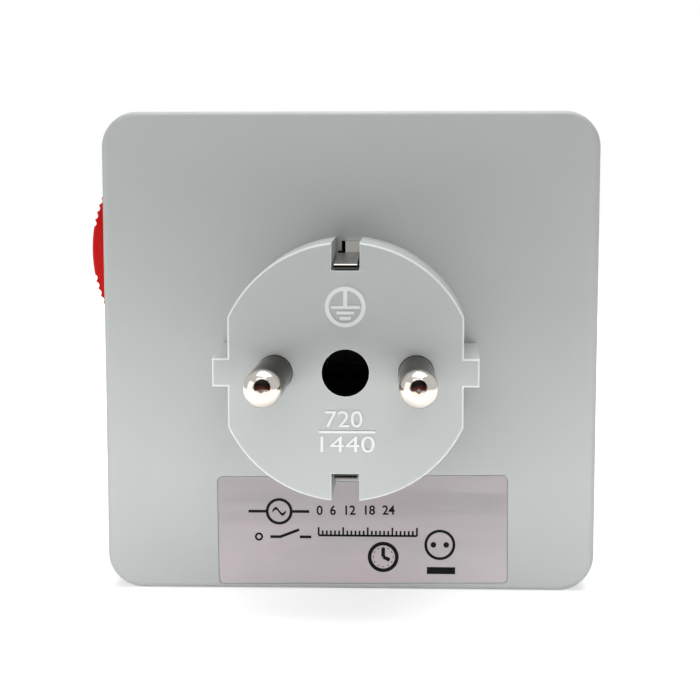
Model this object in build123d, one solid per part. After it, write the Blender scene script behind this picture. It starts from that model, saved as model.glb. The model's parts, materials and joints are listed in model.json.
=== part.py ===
"""Plug-in timer switch: a square housing with an earthed plug boss behind and a 24-hour dial round a socket in front.

Frame: millimetres, +Z up, +X to the right of someone looking at the plug pins, +Y from the pins towards the
dial. The origin is the middle of the pin pair on the flat face of the plug boss, and the pins point along -Y.
"""
import math
import os

from build123d import *

# ---- Plug pins and plug boss
PIN_SPACING = 19.0
PIN_R = 2.4
PIN_LENGTH = 19.0
PIN_TIP_ROUND = 2.1
PIN_NECK_R = 2.0
PIN_NECK_OUTSIDE = 0.3
PIN_PLAY = 0.07
PIN_MOUTH_DEPTH = 1.0
PIN_HEAD_R = 3.4
PIN_HEAD_T = 1.6
PIN_TAIL_R = 1.5
BOSS_HEIGHT = 17.3
BOSS_R = 17.5
BOSS_FLAT_HALF = 15.85
BOSS_TAB_HALF = 17.95
BOSS_TAB_HEIGHT = 3.8
BOSS_DRAFT = 0.6
BOSS_WALL = 1.6
BOSS_FACE_T = 3.0
BOSS_EDGE_ROUND = 0.35
SLEEVE_R = 4.0
SLEEVE_END = 12.0
NOTCH_WIDTH = 3.8
NOTCH_FLOOR = 13.7
RECESS_R = 3.2
RECESS_DEPTH = 12.0
HEAD_SEAT_R = 2.9
RECESS_TUBE_R = 4.8
SCREW_SEAT = 14.4
CENTRE_HEAD_T = 2.2
CENTRE_SLOT_WIDTH = 0.8
CENTRE_SLOT_DEPTH = 0.8

# ---- Raised marks on the boss face
MARK_RISE = 0.2
EARTH_MARK_Z = 8.9
EARTH_MARK_R = 2.7
EARTH_MARK_LINE = 0.5
EARTH_BARS = ((3.9, -0.05), (2.3, -0.8), (1.4, -1.5))
EARTH_BAR_T = 0.37

# ---- Housing
BODY_WIDTH = 72.4
BODY_HEIGHT = 70.5
BODY_DEPTH = 40.0
BODY_CENTRE_Z = 0.8
BODY_CORNER_R = 5.2
BODY_EDGE_ROUND = 0.9
WALL = 2.0
REAR_SHELL_DEPTH = 26.7
LIP_T = 0.9
LIP_LENGTH = 1.6
LIP_GAP = 0.1
HOOK_WIDTH = 8.0
HOOK_LENGTH = 2.2
HOOK_NUB = 0.5
HOOK_X = 19.0
PARTING_GROOVE = 0.3
POST_R = 3.0
POST_SIDE_GAP = 5.2
POST_END_GAP = 5.05
TOP_POST_X = -17.0
TOP_POST_GAP = 4.05
BOTTOM_POST_X = 5.5
BOTTOM_POST_GAP = 3.55

# ---- Rating label
LABEL_LEFT = -19.5
LABEL_RIGHT = 23.3
LABEL_HEIGHT = 16.1
LABEL_ABOVE_EDGE = 1.0
LABEL_T = 0.15
LABEL_RECESS = 0.2
LABEL_PLAY = 0.12
LABEL_CORNER_R = 0.8
LABEL_TURN = 0.6

# ---- Socket well
WELL_DEPTH = 17.5
WELL_R = 19.6
WELL_WALL = 1.6
WELL_FLOOR_T = 3.0
WELL_SHOULDER = 0.5
WELL_PLAY = 0.6
WELL_HOLE_R = 2.7
WELL_RIM = 0.6
WELL_RIM_R = 22.3
WELL_RIM_T = 0.9
CENTRE_POST_R = 3.2

# ---- Shutter and contact carrier
SHUTTER_T = 2.2
SHUTTER_R = 12.8
SHUTTER_WINDOW_R = 3.1
SHUTTER_TURN = 38.0
SHUTTER_LUG_ANGLE = 60.0
SHUTTER_LUG_R = 14.6
LAYER_GAP = 0.3
CARRIER_R = 14.0
CARRIER_BACK = 21.6
CONTACT_T = 0.6
CONTACT_WIDTH = 5.0
CONTACT_MOUTH = 3.0
CONTACT_GRIP = 2.2
CONTACT_LEAD_IN = 2.7
CONTACT_BEND = 4.0
BUSBAR_T = 0.8
BUSBAR_WIDTH = 4.0
BUSBAR_OUT_WIDTH = 3.0
BUSBAR_OUT_Z = 1.0
NEUTRAL_BUSBAR_X = 19.0

# ---- Earth straps
STRAP_T = 0.8
STRAP_WIDTH = 3.1
STRAP_Z = 15.4
STRAP_LIP_Y = 1.0
CLIP_WIDTH = 4.0
CLIP_LENGTH = 14.0
WEDGE_LEFT = -0.55
WEDGE_HEIGHT = 1.55
WEDGE_PLAY = 0.05
WEDGE_SIDE_GAP = 0.6

# ---- Dial and tappets
DIAL_TEETH = 60
DIAL_MODULE = 0.8
DIAL_SIDE_GAP = 4.0
DIAL_END_GAP = 3.05
DIAL_BAND = 5.0
DIAL_SKIRT_GAP = 0.2
DIAL_OPENING_GAP = 0.4
TAPPETS = 48
TAPPETS_PER_GROUP = 4
TAPPET_INSET = 2.7
TAPPET_DEEP = 3.0
TAPPET_WIDE = 2.7
TAPPET_GAP = 0.15
TAPPET_TRAVEL = 2.2
TAPPET_FOOT_T = 1.5
TAPPET_FOOT_GROW = 0.35
TAPPET_RETURN_GAP = 0.4
GUIDE_T = 2.8

# ---- Gear train
TRAIN_MODULE = 0.5
PINION_TEETH = 8
WHEEL_ONE_TEETH = 22
WHEEL_TWO_TEETH = 26
DRIVE_TEETH = 12
GEAR_TWO_ANGLE = -45.0
GEAR_ONE_ANGLE = 60.0
MOTOR_PINION_ANGLE = -71.3
GEAR_LAYER_T = 2.0
DRIVE_LAYER_T = 3.6
AXLE_R = 0.8
AXLE_PLAY = 0.08
HUB_R = 1.45
PRESSURE_ANGLE = 20.0
TOOTH_BACKLASH = 0.14
WHEEL_ADDENDUM = 0.6
PINION_ADDENDUM = 0.9
DEDENDUM = 1.1

# ---- Movement plate and motor
PLATE_T = 1.5
PLATE_SIDE_GAP = 1.4
PLATE_END_GAP = 1.55
PLATE_CORNER_R = 3.0
SCREW_R = 1.2
SCREW_HEAD_R = 2.6
SCREW_HEAD_T = 1.4
MOTOR_WALL_GAP = 0.5
MOTOR_WELL_GAP = 0.3
MOTOR_BACK_GAP = 3.4
MOTOR_SKIN = 0.5
MOTOR_COVER_T = 1.0
COIL_GAP = 0.7
COIL_BORE_R = 4.8
ROTOR_R = 3.6
ROTOR_SHAFT_R = 0.6
CLAWS = 8
TERMINAL_SPAN = 6.6

# ---- Micro switch, follower lever and override slider
SWITCH_DEEP = 7.2
SWITCH_OUTSIDE = 2.3
SWITCH_LENGTH = 14.0
SWITCH_STANDS_OUT = 1.2
SWITCH_Z0 = 0.0
SWITCH_Z1 = 18.0
SWITCH_SKIN = 0.8
SUPPLY_TERMINAL_Z = 1.6
LOAD_TERMINAL_Z = 12.0
TERMINAL_INSET = 2.0
PLUNGER_Z = 10.0
PLUNGER_R = 1.1
PLUNGER_RISE = 2.4
LEVER_PIVOT_Z = 25.0
LEVER_PIVOT_RISE = 1.5
LEVER_WIDTH = 2.4
LEVER_T = 2.6
LEVER_PIN_R = 0.9
LEVER_GAP = 0.2
EAR_T = 1.2
SLIDER_Z = 15.8
SLIDER_R = 20.8
SLIDER_PROUD = 2.7
SLIDER_BACK = 22.5
SLIDER_WIDTH = 9.0
SLIDER_TRAVEL = 4.0
SLIDER_NECK_LENGTH = 9.0
SLIDER_NECK_WIDTH = 4.0
SLIDER_GAP = 0.15
SLIDER_PLATE_T = 1.4
SLIDER_PLATE_LENGTH = 18.0
RIDGES = 5
RIDGE_PITCH = 1.15
RIDGE_DEPTH = 0.45
LEAD_R = 0.6
LEAD_RUN_X = 20.0
LEAD_RUN_RISE = 7.65

# ---- Depths along Y that follow from the sizes above
BACK = BOSS_HEIGHT
INSIDE = BACK + WALL
PARTING = BACK + REAR_SHELL_DEPTH
FRONT = BACK + BODY_DEPTH
WELL_FLOOR = FRONT - WELL_DEPTH
WELL_FLOOR_BACK = WELL_FLOOR - WELL_FLOOR_T
SHUTTER_FRONT = WELL_FLOOR_BACK - LAYER_GAP
SHUTTER_BACK = SHUTTER_FRONT - SHUTTER_T
CARRIER_FRONT = SHUTTER_BACK - LAYER_GAP
PLATE_FRONT = WELL_FLOOR
PLATE_BACK = PLATE_FRONT - PLATE_T
WHEEL_ONE_BACK = PLATE_FRONT + 0.5
WHEEL_TWO_BACK = WHEEL_ONE_BACK + GEAR_LAYER_T + LAYER_GAP
DRIVE_BACK = WHEEL_TWO_BACK + GEAR_LAYER_T + LAYER_GAP
DRIVE_FRONT = DRIVE_BACK + DRIVE_LAYER_T
SHOULDER = WHEEL_TWO_BACK + GEAR_LAYER_T
TAPPET_FOOT = DRIVE_FRONT + 1.0 + TAPPET_TRAVEL
GUIDE_BACK = TAPPET_FOOT + TAPPET_FOOT_T + TAPPET_RETURN_GAP
GUIDE_FRONT = GUIDE_BACK + GUIDE_T
TAPPET_TOP = GUIDE_FRONT + TAPPET_TRAVEL
MOTOR_BACK = INSIDE + MOTOR_BACK_GAP
NOSE_TOP = TAPPET_FOOT - LEVER_GAP
SWITCH_FRONT = PLATE_FRONT + SWITCH_STANDS_OUT
SWITCH_BACK = SWITCH_FRONT - SWITCH_LENGTH
LEVER_BACK = SWITCH_FRONT + PLUNGER_RISE + LEVER_GAP
LEVER_PIVOT_Y = LEVER_BACK + LEVER_PIVOT_RISE

# ---- Places across the body that follow from the sizes above
DIAL_R = min(BODY_WIDTH / 2 - DIAL_SIDE_GAP, BODY_HEIGHT / 2 - DIAL_END_GAP)
DIAL_FACE_R = DIAL_R - DIAL_BAND
TAPPET_R = DIAL_R - TAPPET_INSET
LEVER_X = -TAPPET_R
SWITCH_X0 = LEVER_X - SWITCH_OUTSIDE
SWITCH_X1 = SWITCH_X0 + SWITCH_DEEP
HALF_PITCH = PIN_SPACING / 2
WELL_OUT_R = WELL_R + WELL_WALL
SHOULDER_R = WELL_OUT_R + WELL_SHOULDER
BUSBAR_OUT_BACK = SWITCH_BACK + TERMINAL_INSET
SKIRT_R = WELL_OUT_R + DIAL_SKIRT_GAP
INNER_LEFT = -BODY_WIDTH / 2 + WALL
INNER_RIGHT = -INNER_LEFT
BOTTOM_Z = BODY_CENTRE_Z - BODY_HEIGHT / 2
INNER_BOTTOM = BOTTOM_Z + WALL
INNER_TOP = BODY_CENTRE_Z + BODY_HEIGHT / 2 - WALL
POSTS = (
    (INNER_RIGHT - POST_SIDE_GAP, INNER_TOP - POST_END_GAP),
    (INNER_LEFT + POST_SIDE_GAP, INNER_BOTTOM + POST_END_GAP),
    (TOP_POST_X, INNER_TOP - TOP_POST_GAP),
    (BOTTOM_POST_X, INNER_BOTTOM + BOTTOM_POST_GAP),
)
PLATE_WIDTH = BODY_WIDTH - 2 * (WALL + PLATE_SIDE_GAP)
PLATE_HEIGHT = BODY_HEIGHT - 2 * (WALL + PLATE_END_GAP)


def polar(radius, degrees, centre=(0.0, 0.0)):
    """A point in the X-Z plane at a radius and an angle from +X towards +Z about a centre."""
    turn = math.radians(degrees)
    return centre[0] + radius * math.cos(turn), centre[1] + radius * math.sin(turn)


GEAR_TWO_AT = polar((DIAL_TEETH + DRIVE_TEETH) * DIAL_MODULE / 2, GEAR_TWO_ANGLE)
GEAR_ONE_AT = polar((WHEEL_TWO_TEETH + PINION_TEETH) * TRAIN_MODULE / 2, GEAR_ONE_ANGLE, GEAR_TWO_AT)
MOTOR_PINION_AT = polar((WHEEL_ONE_TEETH + PINION_TEETH) * TRAIN_MODULE / 2, MOTOR_PINION_ANGLE, GEAR_ONE_AT)


# ---- Building helpers
def level(y):
    """The X-Z plane at depth y, with the sketch's x along X and its y along Z."""
    return Plane.XZ.offset(-y)


def slab(sketch, y0, y1):
    """A sketch in X and Z, made solid from depth y0 to depth y1."""
    return extrude(level(y0) * sketch, amount=y0 - y1)


def disc(radius, y0, y1, at=(0.0, 0.0)):
    return slab(Pos(*at) * Circle(radius), y0, y1)


def tube(outer, inner, y0, y1, at=(0.0, 0.0)):
    return slab(Pos(*at) * (Circle(outer) - Circle(inner)), y0, y1)


def block(x0, x1, y0, y1, z0, z1):
    """A box between two values on each axis."""
    centre = Pos((x0 + x1) / 2, (y0 + y1) / 2, (z0 + z1) / 2)
    return centre * Box(x1 - x0, y1 - y0, z1 - z0)


def ribbon(plane, points, rounds, thickness, width):
    """A bent flat strip: its middle line lies in the plane, and its width runs along the plane's normal."""
    line = FilletPolyline(*points, radius=rounds)
    face = make_face(offset(line, amount=thickness / 2, side=Side.BOTH))
    return extrude(plane * face, amount=width)


def side_plane(x):
    """The Y-Z plane at x, with the sketch's x along Y and its y along Z."""
    return Plane(origin=(x, 0, 0), x_dir=(0, 1, 0), z_dir=(1, 0, 0))


def wire(points, rounds, radius):
    """A round lead along straight runs joined by arcs."""
    path = FilletPolyline(*points, radius=rounds)
    return sweep(Plane(origin=path @ 0, z_dir=path % 0) * Circle(radius), path=path)


def body_outline(inset=0.0):
    width, height = BODY_WIDTH - 2 * inset, BODY_HEIGHT - 2 * inset
    return Pos(0, BODY_CENTRE_Z) * RectangleRounded(width, height, BODY_CORNER_R - inset)


def boss_outline(grow=0.0):
    """The plug's outline: a circle with two flats, and a guide tab on each flat."""
    round_part = Circle(BOSS_R + grow) & Rectangle(2 * (BOSS_FLAT_HALF + grow), 4 * BOSS_R)
    return round_part + Rectangle(2 * (BOSS_TAB_HALF + grow), BOSS_TAB_HEIGHT + 2 * grow)


# ---- Gears
def involute(angle):
    return math.tan(angle) - angle


def gear_face(teeth, module, addendum, phase, at=(0.0, 0.0)):
    """A spur gear's outline, with the middle of one tooth at the phase angle."""
    pitch = teeth * module / 2
    base = pitch * math.cos(math.radians(PRESSURE_ANGLE))
    root, tip = pitch - DEDENDUM * module, pitch + addendum * module
    half_tooth = math.pi / (2 * teeth) - TOOTH_BACKLASH / (2 * pitch)
    at_pitch = involute(math.radians(PRESSURE_ANGLE))
    low = max(root, base)
    radii = [root] * (root < base) + [low, (low + pitch) / 2, pitch, (pitch + tip) / 2, tip]
    flank = []
    for radius in radii:
        above = math.acos(min(1.0, base / radius)) if radius > base else 0.0
        flank.append((radius, math.degrees(half_tooth + at_pitch - involute(above))))
    points = []
    for tooth in range(teeth):
        middle = phase + 360 * tooth / teeth
        points += [polar(radius, middle - spread, at) for radius, spread in flank]
        points += [polar(radius, middle + spread, at) for radius, spread in reversed(flank)]
    return Polygon(*points, align=None)


def meshed_phase(teeth, phase, direction, mate_teeth):
    """The mate's phase that puts its gap on a tooth, where direction points from the gear to its mate."""
    share = (direction - phase) * teeth / 360
    return direction + 180 - (0.5 - share) * 360 / mate_teeth


DRIVE_PHASE = meshed_phase(DIAL_TEETH, 0.0, GEAR_TWO_ANGLE, DRIVE_TEETH)
ONE_PINION_PHASE = meshed_phase(WHEEL_TWO_TEETH, 0.0, GEAR_ONE_ANGLE, PINION_TEETH)
MOTOR_PINION_PHASE = meshed_phase(WHEEL_ONE_TEETH, 0.0, MOTOR_PINION_ANGLE, PINION_TEETH)


# ---- Housing
def strap_slots(width, room, y0, y1):
    """Openings for the two earth straps where they are so wide, from depth y0 to depth y1."""
    half_x, half_z = width / 2 + room, STRAP_T / 2 + room
    upper = block(-half_x, half_x, y0, y1, STRAP_Z - half_z, STRAP_Z + half_z)
    return [upper, mirror(upper, about=Plane.XY)]


def earth_mark():
    """The raised earth sign: a ring, an upright and three bars that shorten downwards."""
    ring = Circle(EARTH_MARK_R) - Circle(EARTH_MARK_R - EARTH_MARK_LINE)
    upright_height = EARTH_MARK_R - EARTH_MARK_LINE / 2
    sign = ring + Pos(0, upright_height / 2) * Rectangle(EARTH_MARK_LINE, upright_height)
    for width, z in EARTH_BARS:
        sign += Pos(0, z) * Rectangle(width, EARTH_BAR_T)
    return slab(Pos(0, EARTH_MARK_Z) * sign, -MARK_RISE, 0)


def slider_slot():
    """The slot in the left wall that the override slider's neck runs in."""
    half = SLIDER_NECK_LENGTH / 2
    middle = SLIDER_BACK + SLIDER_WIDTH / 2
    reach = SLIDER_NECK_WIDTH / 2 + SLIDER_GAP
    low, high = SLIDER_Z - half - SLIDER_TRAVEL - SLIDER_GAP, SLIDER_Z + half + SLIDER_GAP
    return block(-BODY_WIDTH / 2 - 1, INNER_LEFT + 1, middle - reach, middle + reach, low, high)


def hook_recesses():
    """Pockets in the rear shell that the front shell's hooks snap into."""
    y1 = PARTING - LIP_LENGTH - HOOK_LENGTH + 1.4
    cuts = []
    for x in (-HOOK_X, HOOK_X):
        for side in (-1, 1):
            z = BODY_CENTRE_Z + side * (BODY_HEIGHT / 2 - WALL)
            reach = HOOK_NUB + 0.2
            half = HOOK_WIDTH / 2 + 0.2
            cuts.append(block(x - half, x + half, y1 - 1.6, y1, z - reach, z + reach))
    return cuts


def label_outline(grow=0.0):
    width, height = LABEL_RIGHT - LABEL_LEFT + 2 * grow, LABEL_HEIGHT + 2 * grow
    centre = ((LABEL_LEFT + LABEL_RIGHT) / 2, BOTTOM_Z + LABEL_ABOVE_EDGE + LABEL_HEIGHT / 2)
    return Pos(*centre) * Rot(0, 0, LABEL_TURN) * RectangleRounded(width, height, LABEL_CORNER_R)


def rear_housing():
    shell = slab(body_outline(), BACK, PARTING)
    shell = fillet(shell.faces().sort_by(Axis.Y)[0].edges(), BODY_EDGE_ROUND)
    shell -= slab(label_outline(LABEL_PLAY) - boss_outline(BOSS_DRAFT), BACK - 1, BACK + LABEL_RECESS)
    boss = loft([level(0) * boss_outline(), level(BACK) * boss_outline(BOSS_DRAFT)], ruled=True)
    boss = fillet(boss.faces().sort_by(Axis.Y)[0].edges(), BOSS_EDGE_ROUND)
    shell += boss
    shell -= slab(body_outline(WALL), INSIDE, PARTING + 1)
    pocket = Circle(BOSS_R - BOSS_WALL) & Rectangle(
        2 * (BOSS_FLAT_HALF - BOSS_WALL), 2 * (NOTCH_FLOOR - BOSS_WALL)
    )
    shell -= slab(pocket, BOSS_FACE_T, INSIDE + 1)
    shell += disc(RECESS_TUBE_R, BOSS_FACE_T - 0.5, BACK)
    for x in (-HALF_PITCH, HALF_PITCH):
        shell += disc(SLEEVE_R, BOSS_FACE_T - 0.5, SLEEVE_END, (x, 0))
        shell -= disc(PIN_R + PIN_PLAY, -1, PIN_MOUTH_DEPTH, (x, 0))
        shell -= disc(PIN_NECK_R + PIN_PLAY, 0, SLEEVE_END + 1, (x, 0))
    shell -= disc(RECESS_R, -1, RECESS_DEPTH)
    shell -= disc(HEAD_SEAT_R, RECESS_DEPTH - 1, SCREW_SEAT)
    shell -= disc(SCREW_R + 0.3, SCREW_SEAT - 1, BACK + 1)
    for side in (-1, 1):
        low, high = sorted((side * NOTCH_FLOOR, side * 2 * BOSS_R))
        shell -= block(-NOTCH_WIDTH / 2, NOTCH_WIDTH / 2, -1, BACK, low, high)
    for slot in strap_slots(STRAP_WIDTH, 0.15, BACK - 1, INSIDE + 1):
        shell -= slot
    shell -= wedge_seat()
    for x, z in POSTS:
        shell += disc(POST_R, INSIDE - 0.5, PLATE_BACK, (x, z))
        shell -= disc(SCREW_R + 0.05, PLATE_BACK - 8, PLATE_BACK + 1, (x, z))
    shell -= slider_slot()
    for cut in hook_recesses():
        shell -= cut
    return shell + earth_mark()


def front_housing():
    shell = slab(body_outline(), PARTING, FRONT)
    shell = fillet(shell.faces().sort_by(Axis.Y)[-1].edges(), BODY_EDGE_ROUND)
    shell -= slab(body_outline(WALL), PARTING - 1, FRONT - WALL)
    shell -= disc(DIAL_R + DIAL_OPENING_GAP, PARTING, FRONT + 1)
    groove = body_outline(-1) - body_outline(PARTING_GROOVE)
    shell -= slab(groove, PARTING - 1, PARTING + PARTING_GROOVE)
    lip_outer, lip_inner = body_outline(WALL + LIP_GAP), body_outline(WALL + LIP_GAP + LIP_T)
    lip_start = PARTING - LIP_LENGTH
    shell += slab(lip_outer - lip_inner, lip_start, PARTING)
    root = body_outline(WALL - 0.2) - lip_inner
    shell += slab(root, PARTING, PARTING + 1.2)
    for x in (-HOOK_X, HOOK_X):
        for side in (-1, 1):
            outer = BODY_HEIGHT / 2 - WALL - LIP_GAP
            ends = sorted((side * outer, side * (outer - LIP_T)))
            z0, z1 = (BODY_CENTRE_Z + end for end in ends)
            half = HOOK_WIDTH / 2
            shell += block(x - half, x + half, lip_start - HOOK_LENGTH, lip_start, z0, z1)
            ends = sorted((side * outer, side * (outer + HOOK_NUB)))
            z0, z1 = (BODY_CENTRE_Z + end for end in ends)
            tip = lip_start - HOOK_LENGTH + 0.2
            shell += block(x - half, x + half, tip, tip + 0.9, z0, z1)
    return shell


def rating_label():
    label = label_outline() - boss_outline(BOSS_DRAFT + LABEL_PLAY)
    return slab(label, BACK + LABEL_RECESS - LABEL_T, BACK + LABEL_RECESS)


# ---- Plug pins and earth
def pin(x):
    """A plug pin: a round-ended shank, a slimmer neck through the boss face and a head inside the boss."""
    shank = disc(PIN_R, -PIN_LENGTH, -PIN_NECK_OUTSIDE, (x, 0))
    shank = fillet(shank.faces().sort_by(Axis.Y)[0].edges(), PIN_TIP_ROUND)
    shank += disc(PIN_NECK_R, -PIN_NECK_OUTSIDE, SLEEVE_END, (x, 0))
    head = disc(PIN_HEAD_R, SLEEVE_END, SLEEVE_END + PIN_HEAD_T, (x, 0))
    return shank + head


def live_pin():
    return pin(-HALF_PITCH) + disc(PIN_TAIL_R, SLEEVE_END, BACK, (-HALF_PITCH, 0))


def neutral_pin():
    tail = disc(PIN_TAIL_R, SLEEVE_END, INSIDE + 0.2, (HALF_PITCH, 0))
    rivet = disc(PIN_TAIL_R - 0.5, INSIDE, INSIDE + 1.1, (HALF_PITCH, 0))
    return pin(HALF_PITCH) + tail + rivet


def pin_retainer():
    """A flat plate across the boss that holds both pin heads on their sleeves."""
    y0 = SLEEVE_END + PIN_HEAD_T
    sketch = Rectangle(2 * (BOSS_FLAT_HALF - BOSS_WALL - 0.3), 2 * RECESS_TUBE_R + 5)
    sketch -= Circle(RECESS_TUBE_R + 0.1)
    for x in (-HALF_PITCH, HALF_PITCH):
        sketch -= Pos(x, 0) * Circle(PIN_TAIL_R + 0.1)
    plate = slab(sketch, y0, y0 + 1.2)
    return plate


def earth_strap_upper():
    """The upper earth strap: a lip in the boss notch, a run through the body and a wider clip in the well."""
    path = [
        (STRAP_LIP_Y, NOTCH_FLOOR + STRAP_T / 2 + 0.1),
        (BACK - 3.6, STRAP_Z),
        (WELL_FLOOR + 0.4, STRAP_Z),
        (WELL_FLOOR + 3.0, STRAP_Z + 1.7),
        (WELL_FLOOR + 9.6, STRAP_Z - 1.0),
        (WELL_FLOOR + CLIP_LENGTH, STRAP_Z + 1.4),
    ]
    strap = ribbon(side_plane(-CLIP_WIDTH / 2), path, [1.0, 1.0, 1.0, 2.0], STRAP_T, CLIP_WIDTH)
    for side in (-1, 1):
        x0, x1 = sorted((side * STRAP_WIDTH / 2, side * CLIP_WIDTH))
        strap -= block(x0, x1, -1, INSIDE + 0.7, 0, 2 * STRAP_Z)
    neck = block(-STRAP_WIDTH, -0.6, BACK - 4.2, BACK + 3.2, STRAP_Z - 1, STRAP_Z + 1)
    return strap - fillet(neck.edges().filter_by(Axis.Z), 0.6)


def earth_strap_lower():
    return mirror(earth_strap_upper(), about=Plane.XY)


def earth_bridge():
    """A half ring that joins the two earth straps round the right side of the contact carrier."""
    y0 = CARRIER_BACK + 0.7
    ring = Circle(STRAP_Z + 1.6) - Circle(CARRIER_R + 1.0)
    reach = 2 * STRAP_Z
    right_of_strap = Pos(CLIP_WIDTH / 2 + reach / 2, 0) * Rectangle(reach, 2 * reach)
    return slab(ring & right_of_strap, y0, y0 + CONTACT_T)


def wedge_box(gap, play, y0, y1):
    """A box on top of the upper strap, with a gap on its left side and play above it."""
    z0 = STRAP_Z + STRAP_T / 2
    return block(WEDGE_LEFT - gap, NOTCH_WIDTH / 2, y0, y1, z0, z0 + WEDGE_HEIGHT + play)


def wedge_seat():
    """The opening in the back wall that the wedge sits in, which stays open on the wedge's left side."""
    return wedge_box(WEDGE_SIDE_GAP, WEDGE_PLAY, BACK - 0.01, INSIDE + 1)


def strap_wedge():
    """A small pale wedge that is pushed in above the upper strap and holds it in its slot."""
    return wedge_box(0, 0, BACK - 1.4, INSIDE + 0.8)


def centre_screw():
    """The screw in the boss recess that pulls the socket insert onto the rear housing."""
    top = SCREW_SEAT - CENTRE_HEAD_T
    head = disc(HEAD_SEAT_R - 0.1, top, SCREW_SEAT)
    reach, half = HEAD_SEAT_R, CENTRE_SLOT_WIDTH / 2
    head -= block(-reach, reach, top - 1, top + CENTRE_SLOT_DEPTH, -half, half)
    head -= block(-half, half, top - 1, top + CENTRE_SLOT_DEPTH, -reach, reach)
    return head + disc(SCREW_R, SCREW_SEAT, BACK + 12)


# ---- Socket
def well_outline(grow=0.0):
    """The inside of the well: the plug's outline with room round it."""
    play = WELL_PLAY + BOSS_DRAFT + grow
    round_part = Circle(WELL_R + grow) & Rectangle(2 * (BOSS_FLAT_HALF + play), 4 * WELL_R)
    tabs = Rectangle(2 * (BOSS_TAB_HALF + play), BOSS_TAB_HEIGHT + 2 * play)
    return round_part + (tabs & Circle(WELL_R + grow))


def socket_insert():
    insert = disc(SHOULDER_R, WELL_FLOOR_BACK, SHOULDER)
    insert += disc(WELL_OUT_R, SHOULDER, FRONT)
    insert += disc(WELL_RIM_R, FRONT - WELL_RIM_T + WELL_RIM, FRONT + WELL_RIM)
    insert = fillet(insert.faces().sort_by(Axis.Y)[-1].edges(), 0.4)
    insert -= slab(well_outline(), WELL_FLOOR, FRONT + 2)
    insert += disc(CENTRE_POST_R, BACK + 0.2, WELL_FLOOR)
    insert -= disc(SCREW_R + 0.05, BACK, BACK + 13)
    for x in (-HALF_PITCH, HALF_PITCH):
        insert -= disc(WELL_HOLE_R, WELL_FLOOR_BACK - 1, WELL_FLOOR + 1, (x, 0))
    for slot in strap_slots(CLIP_WIDTH, 0.1, WELL_FLOOR_BACK - 1, WELL_FLOOR + 1):
        insert -= slot
    return insert


def shutter():
    """A sprung disc behind the well floor that covers both pin holes until it is turned."""
    sketch = Circle(SHUTTER_R) - Circle(CENTRE_POST_R + 0.1)
    for angle in (SHUTTER_TURN, SHUTTER_TURN + 180):
        sketch -= Pos(*polar(HALF_PITCH, angle)) * Circle(SHUTTER_WINDOW_R)
    lug = Rot(0, 0, SHUTTER_LUG_ANGLE) * Pos((SHUTTER_R + SHUTTER_LUG_R) / 2 - 0.5, 0)
    sketch += lug * Rectangle(SHUTTER_LUG_R - SHUTTER_R + 1, 1.6)
    return slab(sketch, SHUTTER_BACK, SHUTTER_FRONT)


SPRING_R = (SHUTTER_R + SHUTTER_LUG_R) / 2 + 0.3
SPRING_ANCHOR_ANGLE = SHUTTER_LUG_ANGLE + 43


def shutter_spring():
    """A curved leaf from the carrier's anchor to the shutter's lug."""
    ring = Circle(SPRING_R + 0.25) - Circle(SPRING_R - 0.25)
    first, last = SHUTTER_LUG_ANGLE + 4, SPRING_ANCHOR_ANGLE - 3.4
    corners = [polar(2 * SPRING_R, angle) for angle in (first, (first + last) / 2, last)]
    leaf = ring & Polygon((0, 0), *corners, align=None)
    return slab(leaf, SHUTTER_BACK + 0.3, SHUTTER_FRONT - 0.3)


def contact_carrier():
    """The round block that holds the socket contacts round the centre post."""
    carrier = disc(CARRIER_R, CARRIER_BACK, CARRIER_FRONT)
    carrier += disc(RECESS_TUBE_R, BACK, CARRIER_BACK)
    carrier -= disc(CENTRE_POST_R + 0.1, BACK - 1, CARRIER_FRONT + 1)
    half_x = CONTACT_MOUTH + CONTACT_T / 2 + 0.25
    half_z = CONTACT_WIDTH / 2 + 0.2
    for x in (-HALF_PITCH, HALF_PITCH):
        carrier -= block(x - half_x, x + half_x, CARRIER_BACK - 1, CARRIER_FRONT + 1, -half_z, half_z)
    slot_y0, slot_y1 = BUSBAR_OUT_BACK - 0.5, BUSBAR_OUT_BACK + BUSBAR_OUT_WIDTH + 0.5
    for side in (-1, 1):
        x0, x1 = sorted((side * HALF_PITCH, side * 2 * CARRIER_R))
        carrier -= block(x0, x1, slot_y0, slot_y1, BUSBAR_OUT_Z - 1.2, BUSBAR_OUT_Z + 1.2)
    anchor = polar(SPRING_R - 0.2, SPRING_ANCHOR_ANGLE)
    return carrier + disc(0.6, CARRIER_FRONT - 1, SHUTTER_FRONT - 0.3, anchor)


def socket_contact(x):
    """A U-shaped spring contact whose two leaves grip a plug pin."""
    back = INSIDE + 0.2 + CONTACT_T / 2
    front = CARRIER_FRONT - 0.3
    bend, grip = front - CONTACT_LEAD_IN - CONTACT_BEND, front - CONTACT_LEAD_IN
    side = [(CONTACT_MOUTH, back), (CONTACT_MOUTH, bend), (CONTACT_GRIP, grip), (CONTACT_MOUTH, front)]
    left = [(x - reach, y) for reach, y in reversed(side)]
    right = [(x + reach, y) for reach, y in side]
    plane = Plane.XY.offset(-CONTACT_WIDTH / 2)
    return ribbon(plane, left + right, [1.0, 2.0, 0.5, 0.5, 2.0, 1.0], CONTACT_T, CONTACT_WIDTH)


def live_contact():
    return socket_contact(-HALF_PITCH)


def neutral_contact():
    return socket_contact(HALF_PITCH) - disc(PIN_TAIL_R - 0.45, INSIDE, INSIDE + 1.5, (HALF_PITCH, 0))


BUSBAR_RISE_X = BOSS_FLAT_HALF - BOSS_WALL - 0.2 - BUSBAR_T / 2
BUSBAR_LOW = SLEEVE_END + PIN_HEAD_T + 1.2 + 1.0
BUSBAR_HIGH = INSIDE + 0.9 + BUSBAR_T / 2


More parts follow.
